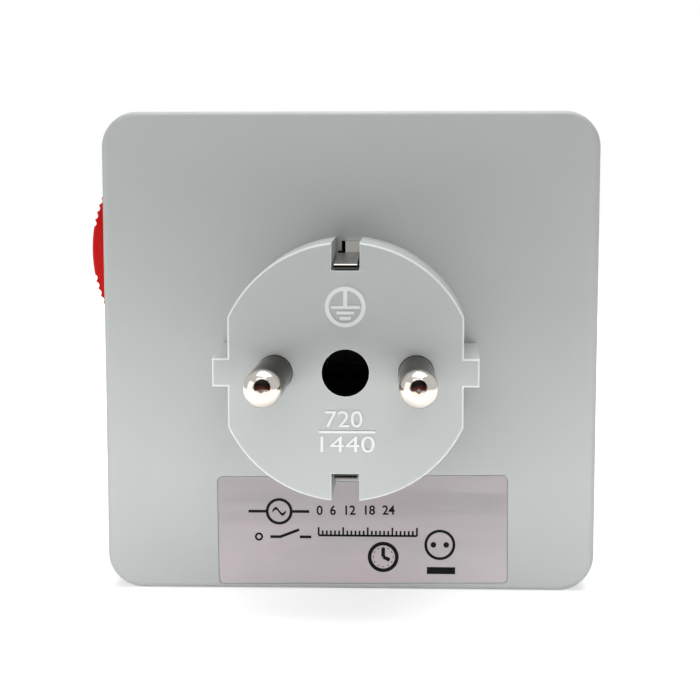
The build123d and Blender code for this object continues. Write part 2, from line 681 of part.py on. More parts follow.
def busbar(side, far_x, more, z0):
    """A flat strip from a pin's tail, out of the boss and along the back wall to one side."""
    path = [(side * (HALF_PITCH - 2), BUSBAR_LOW), (side * BUSBAR_RISE_X, BUSBAR_LOW)]
    path += [(side * BUSBAR_RISE_X, BUSBAR_HIGH), (side * far_x, BUSBAR_HIGH)] + more
    strip = ribbon(Plane.XY.offset(z0), path, [0.6] * (len(path) - 2), BUSBAR_T, BUSBAR_WIDTH)
    return strip - disc(PIN_TAIL_R + 0.02, BUSBAR_LOW - 1, BUSBAR_LOW + 1, (side * HALF_PITCH, 0))


SWITCH_TERMINAL_X = SWITCH_X0 + SWITCH_DEEP / 2


def live_busbar_in():
    end = (SWITCH_TERMINAL_X, SWITCH_BACK - BUSBAR_T / 2)
    return busbar(-1, -SWITCH_TERMINAL_X, [end], 0.5 - BUSBAR_WIDTH / 2)


def neutral_busbar():
    return busbar(1, NEUTRAL_BUSBAR_X, [], -BUSBAR_WIDTH / 2)


def live_busbar_out():
    """A strip from the switch's side to the live contact's outer leaf."""
    outer_leaf = -HALF_PITCH - CONTACT_MOUTH + 0.45 - CONTACT_T / 2
    path = [
        (SWITCH_X1 - SWITCH_SKIN + BUSBAR_T / 2, LOAD_TERMINAL_Z),
        (-CARRIER_R - 5.0, LOAD_TERMINAL_Z),
        (-CARRIER_R - 2.0, BUSBAR_OUT_Z),
        (outer_leaf - 0.62, BUSBAR_OUT_Z),
    ]
    return ribbon(level(BUSBAR_OUT_BACK + BUSBAR_OUT_WIDTH), path, [1.0, 1.0], BUSBAR_T, BUSBAR_OUT_WIDTH)


# ---- Dial
def tappet_angles(group):
    first = group * TAPPETS_PER_GROUP
    return [360 / TAPPETS * (first + place) for place in range(TAPPETS_PER_GROUP)]


def dial_ring():
    """The turning dial: a toothed skirt, a sloping hour face and a guide ring with a slot for each tappet."""
    root_r = DIAL_TEETH * DIAL_MODULE / 2 - DEDENDUM * DIAL_MODULE
    rim_back = FRONT + WELL_RIM - WELL_RIM_T - 0.3
    profile = Polyline(
        (SKIRT_R, SHOULDER + 0.2),
        (root_r, SHOULDER + 0.2),
        (root_r, GUIDE_BACK),
        (DIAL_R, GUIDE_BACK),
        (DIAL_R, GUIDE_FRONT),
        (DIAL_FACE_R, GUIDE_FRONT),
        (DIAL_FACE_R, GUIDE_FRONT + 0.8),
        (WELL_RIM_R + 0.5, FRONT + 0.9),
        (WELL_RIM_R + 0.3, rim_back),
        (SKIRT_R, rim_back),
        close=True,
    )
    section = Plane.XY * make_face(profile)
    ring = revolve(section, axis=Axis.Y)
    teeth = gear_face(DIAL_TEETH, DIAL_MODULE, WHEEL_ADDENDUM, 0.0) - Circle((SKIRT_R + root_r) / 2)
    ring += slab(teeth, DRIVE_BACK, DRIVE_FRONT)
    slot = Rectangle(TAPPET_DEEP + 2 * TAPPET_GAP, TAPPET_WIDE + 2 * TAPPET_GAP)
    slots = [loc * slot for loc in PolarLocations(TAPPET_R, TAPPETS)]
    return ring - slab(Sketch() + slots, GUIDE_BACK - 1, GUIDE_FRONT + 1)


def tappet():
    """One switching tappet, on +X: a foot behind the guide ring, a stem and a rounded head."""
    stem = Pos(TAPPET_R, 0) * Rectangle(TAPPET_DEEP, TAPPET_WIDE)
    foot = Pos(TAPPET_R, 0) * Rectangle(TAPPET_DEEP + 2 * TAPPET_FOOT_GROW, TAPPET_WIDE)
    piece = slab(stem, TAPPET_FOOT, TAPPET_TOP)
    piece = fillet(piece.faces().sort_by(Axis.Y)[-1].edges(), 0.45)
    return piece + slab(foot, TAPPET_FOOT, TAPPET_FOOT + TAPPET_FOOT_T)


def tappet_group(group):
    single = tappet()
    return Compound([Rot(0, -angle, 0) * single for angle in tappet_angles(group)])


# ---- Gear train
def bored(gear, at):
    return gear - disc(AXLE_R + AXLE_PLAY, PLATE_BACK, DRIVE_FRONT + 2, at)


def gear_one():
    """The first wheel, with the small pinion that drives the second one."""
    wheel = gear_face(WHEEL_ONE_TEETH, TRAIN_MODULE, WHEEL_ADDENDUM, 0.0, GEAR_ONE_AT)
    pinion = gear_face(PINION_TEETH, TRAIN_MODULE, PINION_ADDENDUM, ONE_PINION_PHASE, GEAR_ONE_AT)
    gear = slab(wheel, WHEEL_ONE_BACK, WHEEL_ONE_BACK + GEAR_LAYER_T)
    gear += disc(HUB_R, PLATE_FRONT + 0.15, WHEEL_ONE_BACK + 0.1, GEAR_ONE_AT)
    gear += slab(pinion, WHEEL_ONE_BACK + GEAR_LAYER_T, SHOULDER)
    return bored(gear, GEAR_ONE_AT)


def gear_two():
    """The second wheel, with the wide pinion that drives the dial."""
    wheel = gear_face(WHEEL_TWO_TEETH, TRAIN_MODULE, WHEEL_ADDENDUM, 0.0, GEAR_TWO_AT)
    drive = gear_face(DRIVE_TEETH, DIAL_MODULE, WHEEL_ADDENDUM, DRIVE_PHASE, GEAR_TWO_AT)
    gear = slab(wheel, WHEEL_TWO_BACK, WHEEL_TWO_BACK + GEAR_LAYER_T)
    gear += disc(HUB_R, PLATE_FRONT + 0.15, WHEEL_TWO_BACK + 0.1, GEAR_TWO_AT)
    gear += slab(drive, WHEEL_TWO_BACK + GEAR_LAYER_T, DRIVE_FRONT)
    return bored(gear, GEAR_TWO_AT)


def gear_axles():
    """Two steel axles, fixed in the movement plate."""
    first = disc(AXLE_R, PLATE_BACK, SHOULDER + 0.4, GEAR_ONE_AT)
    second = disc(AXLE_R, PLATE_BACK, DRIVE_FRONT + 0.4, GEAR_TWO_AT)
    return Compound([first, second])


def motor_pinion():
    pinion = gear_face(PINION_TEETH, TRAIN_MODULE, PINION_ADDENDUM, MOTOR_PINION_PHASE, MOTOR_PINION_AT)
    gear = slab(pinion, WHEEL_ONE_BACK - 0.2, WHEEL_ONE_BACK + GEAR_LAYER_T)
    return gear + disc(AXLE_R, PLATE_BACK - 0.8, WHEEL_ONE_BACK, MOTOR_PINION_AT)


def movement_plate():
    """The plate that carries the gear axles, the motor and the ears of the follower lever."""
    sketch = Pos(0, BODY_CENTRE_Z) * RectangleRounded(PLATE_WIDTH, PLATE_HEIGHT, PLATE_CORNER_R)
    sketch -= Circle(SHOULDER_R + 0.15)
    sketch -= Pos(*MOTOR_PINION_AT) * Circle(PINION_TEETH * TRAIN_MODULE / 2 + 1.0)
    for at in (GEAR_ONE_AT, GEAR_TWO_AT):
        sketch -= Pos(*at) * Circle(AXLE_R)
    for at in POSTS:
        sketch -= Pos(*at) * Circle(SCREW_R + 0.1)
    plate = slab(sketch, PLATE_BACK, PLATE_FRONT)
    plate -= block(
        -PLATE_WIDTH, SWITCH_X1 + 0.3, PLATE_BACK - 1, PLATE_FRONT + 1, SWITCH_Z0 - 0.3, SWITCH_Z1 + 0.3
    )
    for x in ear_places():
        ear = block(x, x + EAR_T, PLATE_FRONT - 0.5, LEVER_PIVOT_Y + 1.9, LEVER_PIVOT_Z - 2, LEVER_PIVOT_Z + 2)
        plate += ear
    return plate - lever_axle(LEVER_PIN_R)


def ear_places():
    half = LEVER_WIDTH / 2 + LAYER_GAP
    return LEVER_X - half - EAR_T, LEVER_X + half


def lever_axle(radius):
    left, right = ear_places()
    length = right + EAR_T - left + 0.6
    line = Plane(origin=(left - 0.3, LEVER_PIVOT_Y, LEVER_PIVOT_Z), z_dir=(1, 0, 0))
    return extrude(line * Circle(radius), amount=length)


def lever_pin():
    return lever_axle(LEVER_PIN_R)


def movement_screws():
    """Four pan-head screws that hold the movement plate on the rear housing's posts."""
    screws = []
    for x, z in POSTS:
        head = disc(SCREW_HEAD_R, PLATE_FRONT, PLATE_FRONT + SCREW_HEAD_T, (x, z))
        head = fillet(head.faces().sort_by(Axis.Y)[-1].edges(), 0.6)
        slot_y = PLATE_FRONT + SCREW_HEAD_T - 0.6
        head -= block(x - SCREW_HEAD_R, x + SCREW_HEAD_R, slot_y, slot_y + 1, z - 0.35, z + 0.35)
        screws.append(head + disc(SCREW_R, PLATE_BACK - 5, PLATE_FRONT, (x, z)))
    return Compound(screws)


# ---- Motor
def corner_motor():
    """The radius and the place of the largest round motor between the well and the lower right corner's walls."""
    across = INNER_RIGHT - MOTOR_WALL_GAP
    down = -INNER_BOTTOM - MOTOR_WALL_GAP
    well = SHOULDER_R + MOTOR_WELL_GAP
    total = across + down + well
    radius = total - math.sqrt(total**2 - (across**2 + down**2 - well**2))
    return radius, across - radius, radius - down


MOTOR_R, MOTOR_X, MOTOR_Z = corner_motor()
MOTOR_AT = (MOTOR_X, MOTOR_Z)
COIL_R = MOTOR_R - MOTOR_SKIN - COIL_GAP
MOTOR_LID = PLATE_BACK - MOTOR_COVER_T
COIL_BACK = MOTOR_BACK + 2.4
COIL_FRONT = MOTOR_LID - 4.2


def motor_can():
    can = disc(MOTOR_R, MOTOR_BACK, MOTOR_LID, MOTOR_AT)
    can = fillet(can.faces().sort_by(Axis.Y)[0].edges(), 0.8)
    can -= disc(MOTOR_R - MOTOR_SKIN, MOTOR_BACK + MOTOR_SKIN, MOTOR_LID + 1, MOTOR_AT)
    can -= disc(ROTOR_SHAFT_R + 0.05, MOTOR_BACK - 1, MOTOR_BACK + 1, MOTOR_AT)
    return can - terminal_box(0.1)


def motor_cover():
    cover = disc(MOTOR_R, MOTOR_LID, PLATE_BACK, MOTOR_AT)
    cover += tube(MOTOR_R - MOTOR_SKIN - 0.02, MOTOR_R - 2 * MOTOR_SKIN, MOTOR_LID - 1.2, MOTOR_LID, MOTOR_AT)
    cover -= disc(ROTOR_SHAFT_R + 0.05, MOTOR_LID - 2, PLATE_BACK - 0.4, MOTOR_AT)
    return cover - disc(AXLE_R + AXLE_PLAY, MOTOR_LID - 2, PLATE_BACK + 1, MOTOR_PINION_AT)


def terminal_box(room):
    """The coil bobbin's terminal block, which looks out of the side of the can."""
    half = TERMINAL_SPAN / 2 + room
    return block(
        MOTOR_X - MOTOR_R - 1.6, MOTOR_X - COIL_R + 0.6,
        COIL_BACK + 1.0 - room, COIL_BACK + 4.4 + room,
        MOTOR_Z - half, MOTOR_Z + half,
    )


def motor_coil():
    coil = tube(COIL_R, COIL_BORE_R, COIL_BACK, COIL_FRONT, MOTOR_AT)
    return coil + (terminal_box(0) - disc(COIL_BORE_R, COIL_BACK, COIL_FRONT, MOTOR_AT))


def motor_stator():
    """Two rings with claws that reach along the rotor from both ends."""
    claw_out, claw_in = COIL_BORE_R - 0.15, ROTOR_R + 0.35
    back = tube(MOTOR_R - MOTOR_SKIN - 0.2, claw_in, COIL_BACK - 1.0, COIL_BACK - 0.1, MOTOR_AT)
    ring = Pos(*MOTOR_AT) * (Circle(claw_out) - Circle(claw_in))
    for turn in range(CLAWS // 2):
        ring -= Pos(*MOTOR_AT) * Rot(0, 0, 360 / CLAWS * turn) * Rectangle(2 * MOTOR_R, 1.3)
    claws = slab(ring, COIL_BACK - 0.5, COIL_FRONT - 0.6)
    seat = tube(MOTOR_R - MOTOR_SKIN, COIL_BORE_R, MOTOR_BACK + MOTOR_SKIN, COIL_BACK - 0.9, MOTOR_AT)
    return back + claws + seat


def motor_rotor():
    magnet = disc(ROTOR_R, COIL_BACK - 0.4, COIL_FRONT - 0.4, MOTOR_AT)
    return magnet + disc(ROTOR_SHAFT_R, MOTOR_BACK + 0.1, PLATE_BACK - 0.6, MOTOR_AT)


# ---- Motor leads and resistor
RESISTOR_X = 18.6
RESISTOR_Y = 26.2
RESISTOR_R = 1.5
RESISTOR_TOP = -2.5
RESISTOR_LENGTH = 6.0
RESISTOR_WIRE_R = 0.35
RESISTOR_TAIL = 1.2
TERMINAL_Y = COIL_BACK + 2.7
TERMINAL_X = MOTOR_X - MOTOR_R - 1.6


def upright(radius, x, y, z0, z1):
    return Pos(x, y, (z0 + z1) / 2) * Cylinder(radius, z1 - z0)


def motor_resistor():
    """The series resistor, on its own two stiff wires."""
    low = RESISTOR_TOP - RESISTOR_LENGTH
    barrel = upright(RESISTOR_R, RESISTOR_X, RESISTOR_Y, low, RESISTOR_TOP)
    barrel = fillet(barrel.edges(), 0.5)
    top_wire = wire(
        [
            (RESISTOR_X, BUSBAR_HIGH + BUSBAR_T / 2, -0.8),
            (RESISTOR_X, RESISTOR_Y, -0.8),
            (RESISTOR_X, RESISTOR_Y, RESISTOR_TOP - 0.5),
        ],
        [1.1],
        RESISTOR_WIRE_R,
    )
    end_wire = upright(RESISTOR_WIRE_R, RESISTOR_X, RESISTOR_Y, low - RESISTOR_TAIL, low + 0.5)
    return barrel + top_wire + end_wire


def motor_lead_neutral():
    start_z = RESISTOR_TOP - RESISTOR_LENGTH - RESISTOR_TAIL
    points = [
        (RESISTOR_X, RESISTOR_Y, start_z),
        (RESISTOR_X, RESISTOR_Y, start_z - 1.5),
        (TERMINAL_X - 1.0, TERMINAL_Y, start_z - 5.0),
        (TERMINAL_X - 2.6, TERMINAL_Y, MOTOR_Z + 1.8),
        (TERMINAL_X, TERMINAL_Y, MOTOR_Z + 1.8),
    ]
    return wire(points, [0.75, 2.0, 1.2], LEAD_R)


def motor_lead_live():
    start_y = BUSBAR_HIGH + BUSBAR_T / 2
    points = [
        (-LEAD_RUN_X, start_y, 0.0),
        (-LEAD_RUN_X, start_y + 3.0, 0.0),
        (-LEAD_RUN_X, TERMINAL_Y, INNER_BOTTOM + LEAD_RUN_RISE),
        (0.0, TERMINAL_Y, INNER_BOTTOM + LEAD_RUN_RISE),
        (TERMINAL_X - 4.0, TERMINAL_Y, MOTOR_Z - 1.8),
        (TERMINAL_X, TERMINAL_Y, MOTOR_Z - 1.8),
    ]
    return wire(points, [2.0, 5.0, 3.0, 2.0], LEAD_R)


# ---- Micro switch
def switch_case():
    """The switch's tray, open towards the left wall, with slots for its two terminals and the plunger."""
    case = block(SWITCH_X0 + SWITCH_SKIN, SWITCH_X1, SWITCH_BACK, SWITCH_FRONT, SWITCH_Z0, SWITCH_Z1)
    case -= block(
        SWITCH_X0, SWITCH_X1 - SWITCH_SKIN,
        SWITCH_BACK + SWITCH_SKIN, SWITCH_FRONT - SWITCH_SKIN,
        SWITCH_Z0 + SWITCH_SKIN, SWITCH_Z1 - SWITCH_SKIN,
    )
    case -= disc(PLUNGER_R + 0.1, SWITCH_FRONT - 2, SWITCH_FRONT + 1, (LEVER_X, PLUNGER_Z))
    half = BUSBAR_T / 2 + 0.05
    case -= block(
        SWITCH_X1 - 2, SWITCH_X1 + 1,
        BUSBAR_OUT_BACK - 0.05, BUSBAR_OUT_BACK + BUSBAR_OUT_WIDTH + 0.05,
        LOAD_TERMINAL_Z - half, LOAD_TERMINAL_Z + half,
    )
    half = CONTACT_T / 2 + 0.05
    return case - block(
        SWITCH_TERMINAL_X - 0.45, SWITCH_TERMINAL_X + 2.05,
        SWITCH_BACK - 1, SWITCH_BACK + 2,
        SUPPLY_TERMINAL_Z - half, SUPPLY_TERMINAL_Z + half,
    )


def switch_cover():
    return block(SWITCH_X0, SWITCH_X0 + SWITCH_SKIN, SWITCH_BACK, SWITCH_FRONT, SWITCH_Z0, SWITCH_Z1)


def switch_plunger():
    """The button that the follower lever presses, with a collar inside the case."""
    collar_front = SWITCH_FRONT - SWITCH_SKIN - 0.1
    stem = disc(PLUNGER_R, collar_front - 1.0, SWITCH_FRONT + PLUNGER_RISE, (LEVER_X, PLUNGER_Z))
    stem = fillet(stem.faces().sort_by(Axis.Y)[-1].edges(), 0.4)
    return stem + disc(PLUNGER_R + 0.3, collar_front - 1.0, collar_front, (LEVER_X, PLUNGER_Z))


def switch_fixed_contact():
    """A bent strip from the supply terminal, with a contact rivet."""
    plane = side_plane(SWITCH_TERMINAL_X - 0.4)
    low, high = SWITCH_BACK + CONTACT_T / 2, SWITCH_BACK + 4.0
    path = [(low, SUPPLY_TERMINAL_Z), (high, SUPPLY_TERMINAL_Z), (high, SUPPLY_TERMINAL_Z + 4.0)]
    strip = ribbon(plane, path, [0.8], CONTACT_T, 2.4)
    rivet = disc(1.0, high, high + 1.0, (SWITCH_TERMINAL_X + 0.8, SUPPLY_TERMINAL_Z + 3.2))
    return strip + rivet


def switch_contact_leaf():
    """The moving spring leaf, with its rivet over the fixed one and its end at the load terminal."""
    plane = side_plane(SWITCH_TERMINAL_X - 0.4)
    path = [
        (SWITCH_BACK + 6.6, SUPPLY_TERMINAL_Z + 2.0),
        (SWITCH_BACK + 7.2, LOAD_TERMINAL_Z),
        (SWITCH_BACK + 3.4, LOAD_TERMINAL_Z),
    ]
    strip = ribbon(plane, path, [0.8], CONTACT_T - 0.2, 2.4)
    rivet = disc(1.0, SWITCH_BACK + 5.5, SWITCH_BACK + 6.7, (SWITCH_TERMINAL_X + 0.8, SUPPLY_TERMINAL_Z + 3.2))
    tab = block(
        SWITCH_TERMINAL_X + 1.0, SWITCH_X1 - SWITCH_SKIN,
        BUSBAR_OUT_BACK + 0.2, BUSBAR_OUT_BACK + BUSBAR_OUT_WIDTH - 0.2,
        LOAD_TERMINAL_Z - 0.2, LOAD_TERMINAL_Z + 0.2,
    )
    return strip + rivet + tab


# ---- Follower lever
def follower_lever():
    """The lever that reads the tappets: a nose under the ring, a pad on the plunger and a pivot eye."""
    half = 1.5
    beam_front = LEVER_BACK + LEVER_T
    plane = side_plane(LEVER_X - LEVER_WIDTH / 2)
    beam = Polygon(
        (LEVER_BACK, -half), (NOSE_TOP - 0.8, -half), (NOSE_TOP, -0.6), (NOSE_TOP, 0.6), (NOSE_TOP - 0.8, half),
        (beam_front, half + 1.2), (beam_front, LEVER_PIVOT_Z), (LEVER_BACK, LEVER_PIVOT_Z),
        align=None,
    )
    eye = Pos(LEVER_PIVOT_Y, LEVER_PIVOT_Z) * Circle(1.9)
    lever = extrude(plane * (beam + eye), amount=LEVER_WIDTH)
    return lever - lever_axle(LEVER_PIN_R + AXLE_PLAY)


def lever_spring():
    """A bent leaf on the movement plate, under the lever beside its pivot."""
    t = 0.3
    path = [
        (PLATE_FRONT + t / 2, LEVER_PIVOT_Z + 3.6),
        (PLATE_FRONT + t / 2, LEVER_PIVOT_Z + 0.5),
        (LEVER_BACK - 0.9, LEVER_PIVOT_Z - 5.0),
    ]
    return ribbon(side_plane(LEVER_X - 1.0), path, [1.0], t, 2.0)


# ---- Override slider
def slider_cap():
    """The ridged finger piece: a shallow segment of a cylinder, standing on the left wall."""
    wall_x = -BODY_WIDTH / 2
    centre = (wall_x - SLIDER_PROUD + SLIDER_R, SLIDER_Z)
    outside = Pos(wall_x - SLIDER_GAP - SLIDER_R, SLIDER_Z) * Rectangle(2 * SLIDER_R, 4 * SLIDER_R)
    sketch = (Pos(*centre) * Circle(SLIDER_R)) & outside
    cap = slab(sketch, SLIDER_BACK, SLIDER_BACK + SLIDER_WIDTH)
    cap = fillet(cap.faces().sort_by(Axis.X)[0].edges().filter_by(GeomType.CIRCLE), 0.4)
    step = math.degrees(RIDGE_PITCH / SLIDER_R)
    reach = math.degrees(math.acos(1 - (SLIDER_PROUD - SLIDER_GAP) / SLIDER_R))
    groove = Circle(RIDGE_DEPTH)
    for side in (-1, 1):
        for ridge in range(RIDGES):
            angle = 180 + side * (reach - step * (ridge + 1.5))
            at = polar(SLIDER_R + 0.1, angle, centre)
            cap -= slab(Pos(*at) * groove, SLIDER_BACK - 1, SLIDER_BACK + SLIDER_WIDTH + 1)
    return cap


def override_slider():
    """The manual override: finger piece, neck through the wall, inner plate and an arm beside the lever."""
    middle = SLIDER_BACK + SLIDER_WIDTH / 2
    half_neck = SLIDER_NECK_WIDTH / 2
    plate_x0 = INNER_LEFT + SLIDER_GAP
    plate_x1 = plate_x0 + SLIDER_PLATE_T
    neck_z = (SLIDER_Z - SLIDER_NECK_LENGTH / 2, SLIDER_Z + SLIDER_NECK_LENGTH / 2)
    plate_z = (SLIDER_Z - SLIDER_PLATE_LENGTH / 2, SLIDER_Z + SLIDER_PLATE_LENGTH / 2)
    neck = block(-BODY_WIDTH / 2 - 0.6, plate_x1, middle - half_neck, middle + half_neck, *neck_z)
    plate = block(plate_x0, plate_x1, middle - half_neck - 2, middle + half_neck + 2, *plate_z)
    arm = block(plate_x0, plate_x1, middle, PARTING - LIP_LENGTH - 0.4, SLIDER_Z - 2, SLIDER_Z + 2)
    slider = slider_cap() + neck + plate + arm
    for z in (SLIDER_Z, SLIDER_Z - SLIDER_TRAVEL):
        groove = extrude(level(middle - half_neck - 3) * (Pos(plate_x1, z) * Circle(0.6)), amount=-2.4)
        slider -= groove
    return slider


def override_detent_spring():
    """A leaf on the back wall that bears on the slider's plate and clicks at both ends of its travel."""
    plate_x1 = INNER_LEFT + SLIDER_GAP + SLIDER_PLATE_T
    t = 0.3
    gap_x = plate_x1 + 0.35 + t / 2
    y0 = SLIDER_BACK + SLIDER_WIDTH / 2 - SLIDER_NECK_WIDTH / 2 - 2
    path = [
        (gap_x, SLIDER_Z + 7.0),
        (gap_x, SLIDER_Z + 0.8),
        (gap_x - 0.2, SLIDER_Z),
        (gap_x, SLIDER_Z - 0.8),
        (gap_x, SLIDER_Z - 6.0),
    ]
    leaf = ribbon(level(INSIDE), path, [0.3, 0.3, 0.3], t, INSIDE - y0 - 2.0)
    return leaf


NODES = {
    "rear_housing": rear_housing,
    "front_housing": front_housing,
    "rating_label": rating_label,
    "centre_screw": centre_screw,
    "live_pin": live_pin,
    "neutral_pin": neutral_pin,
    "pin_retainer": pin_retainer,
    "earth_strap_upper": earth_strap_upper,
    "earth_strap_lower": earth_strap_lower,
    "earth_bridge": earth_bridge,
    "strap_wedge": strap_wedge,
    "socket_insert": socket_insert,
    "shutter": shutter,
    "shutter_spring": shutter_spring,
    "contact_carrier": contact_carrier,
    "live_contact": live_contact,
    "neutral_contact": neutral_contact,
    "live_busbar_in": live_busbar_in,
    "live_busbar_out": live_busbar_out,
    "neutral_busbar": neutral_busbar,
    "dial_ring": dial_ring,
    "movement_plate": movement_plate,
    "movement_screws": movement_screws,
    "gear_axles": gear_axles,
    "gear_one": gear_one,
    "gear_two": gear_two,
    "motor_pinion": motor_pinion,
    "motor_can": motor_can,
    "motor_cover": motor_cover,
    "motor_coil": motor_coil,
    "motor_stator": motor_stator,
    "motor_rotor": motor_rotor,
    "motor_resistor": motor_resistor,
    "motor_lead_live": motor_lead_live,
    "motor_lead_neutral": motor_lead_neutral,
    "switch_case": switch_case,
    "switch_cover": switch_cover,
    "switch_plunger": switch_plunger,
    "switch_fixed_contact": switch_fixed_contact,
    "switch_contact_leaf": switch_contact_leaf,
    "follower_lever": follower_lever,
    "lever_pin": lever_pin,
    "lever_spring": lever_spring,
    "override_slider": override_slider,
    "override_detent_spring": override_detent_spring,
}

os.makedirs("parts", exist_ok=True)
for name, make in NODES.items():
    export_step(make(), f"parts/{name}.step")
for number in range(TAPPETS // TAPPETS_PER_GROUP):
    export_step(tappet_group(number), f"parts/tappets_{2 * number:02d}_{2 * number + 2:02d}.step")
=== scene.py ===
"""The looks of a plug-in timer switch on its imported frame: materials, print, marks, light and camera."""

import json
import math

import bpy
from mathutils import Matrix, Vector


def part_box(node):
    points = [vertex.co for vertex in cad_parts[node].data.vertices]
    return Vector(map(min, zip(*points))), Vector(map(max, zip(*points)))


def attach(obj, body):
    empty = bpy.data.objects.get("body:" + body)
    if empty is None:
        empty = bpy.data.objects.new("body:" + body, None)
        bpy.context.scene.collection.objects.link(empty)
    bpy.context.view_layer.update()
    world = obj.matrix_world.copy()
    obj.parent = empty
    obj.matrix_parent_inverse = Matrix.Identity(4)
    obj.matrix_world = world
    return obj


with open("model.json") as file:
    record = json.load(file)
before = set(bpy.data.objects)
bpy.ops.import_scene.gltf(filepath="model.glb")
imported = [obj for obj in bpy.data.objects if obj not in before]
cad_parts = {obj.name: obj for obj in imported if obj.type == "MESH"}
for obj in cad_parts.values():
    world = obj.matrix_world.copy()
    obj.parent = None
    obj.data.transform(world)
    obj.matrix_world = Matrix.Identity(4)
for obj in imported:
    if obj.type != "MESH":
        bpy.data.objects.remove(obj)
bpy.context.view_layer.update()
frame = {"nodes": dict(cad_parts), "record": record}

MM = 0.001
NODES = frame["nodes"]
SLOT_OF = {part["node"]: part["material_slot"] for part in frame["record"]["subparts"]}
LABEL_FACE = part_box("rating_label")[0].y
BOSS_FACE = 0.0
BODY_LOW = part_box("rear_housing")[0]
BODY_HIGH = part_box("front_housing")[1]
LEFT_WALL = BODY_LOW.x
FRONT_FACE = BODY_HIGH.y
FLOOR_Z = BODY_LOW.z
RECESS_R = 3.2 * MM
TIP_LENGTH = 2.1 * MM
TIP_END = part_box("live_pin")[0].y + TIP_LENGTH

ALIKE = (1.0, 1.0, 1.0)
NOISE_LOW, NOISE_HIGH = 0.3, 0.7


# ---- Colours and shader helpers
def screen(red, green, blue):
    """A colour given as it looks on a screen, 0 to 255, in the linear values that shaders take."""
    linear = []
    for value in (red / 255, green / 255, blue / 255):
        linear.append(value / 12.92 if value <= 0.04045 else ((value + 0.055) / 1.055) ** 2.4)
    return (*linear, 1.0)


def scaled(colour, factor):
    return tuple(min(1.0, channel * factor) for channel in colour[:3]) + (1.0,)


WHITE = screen(255, 255, 255)


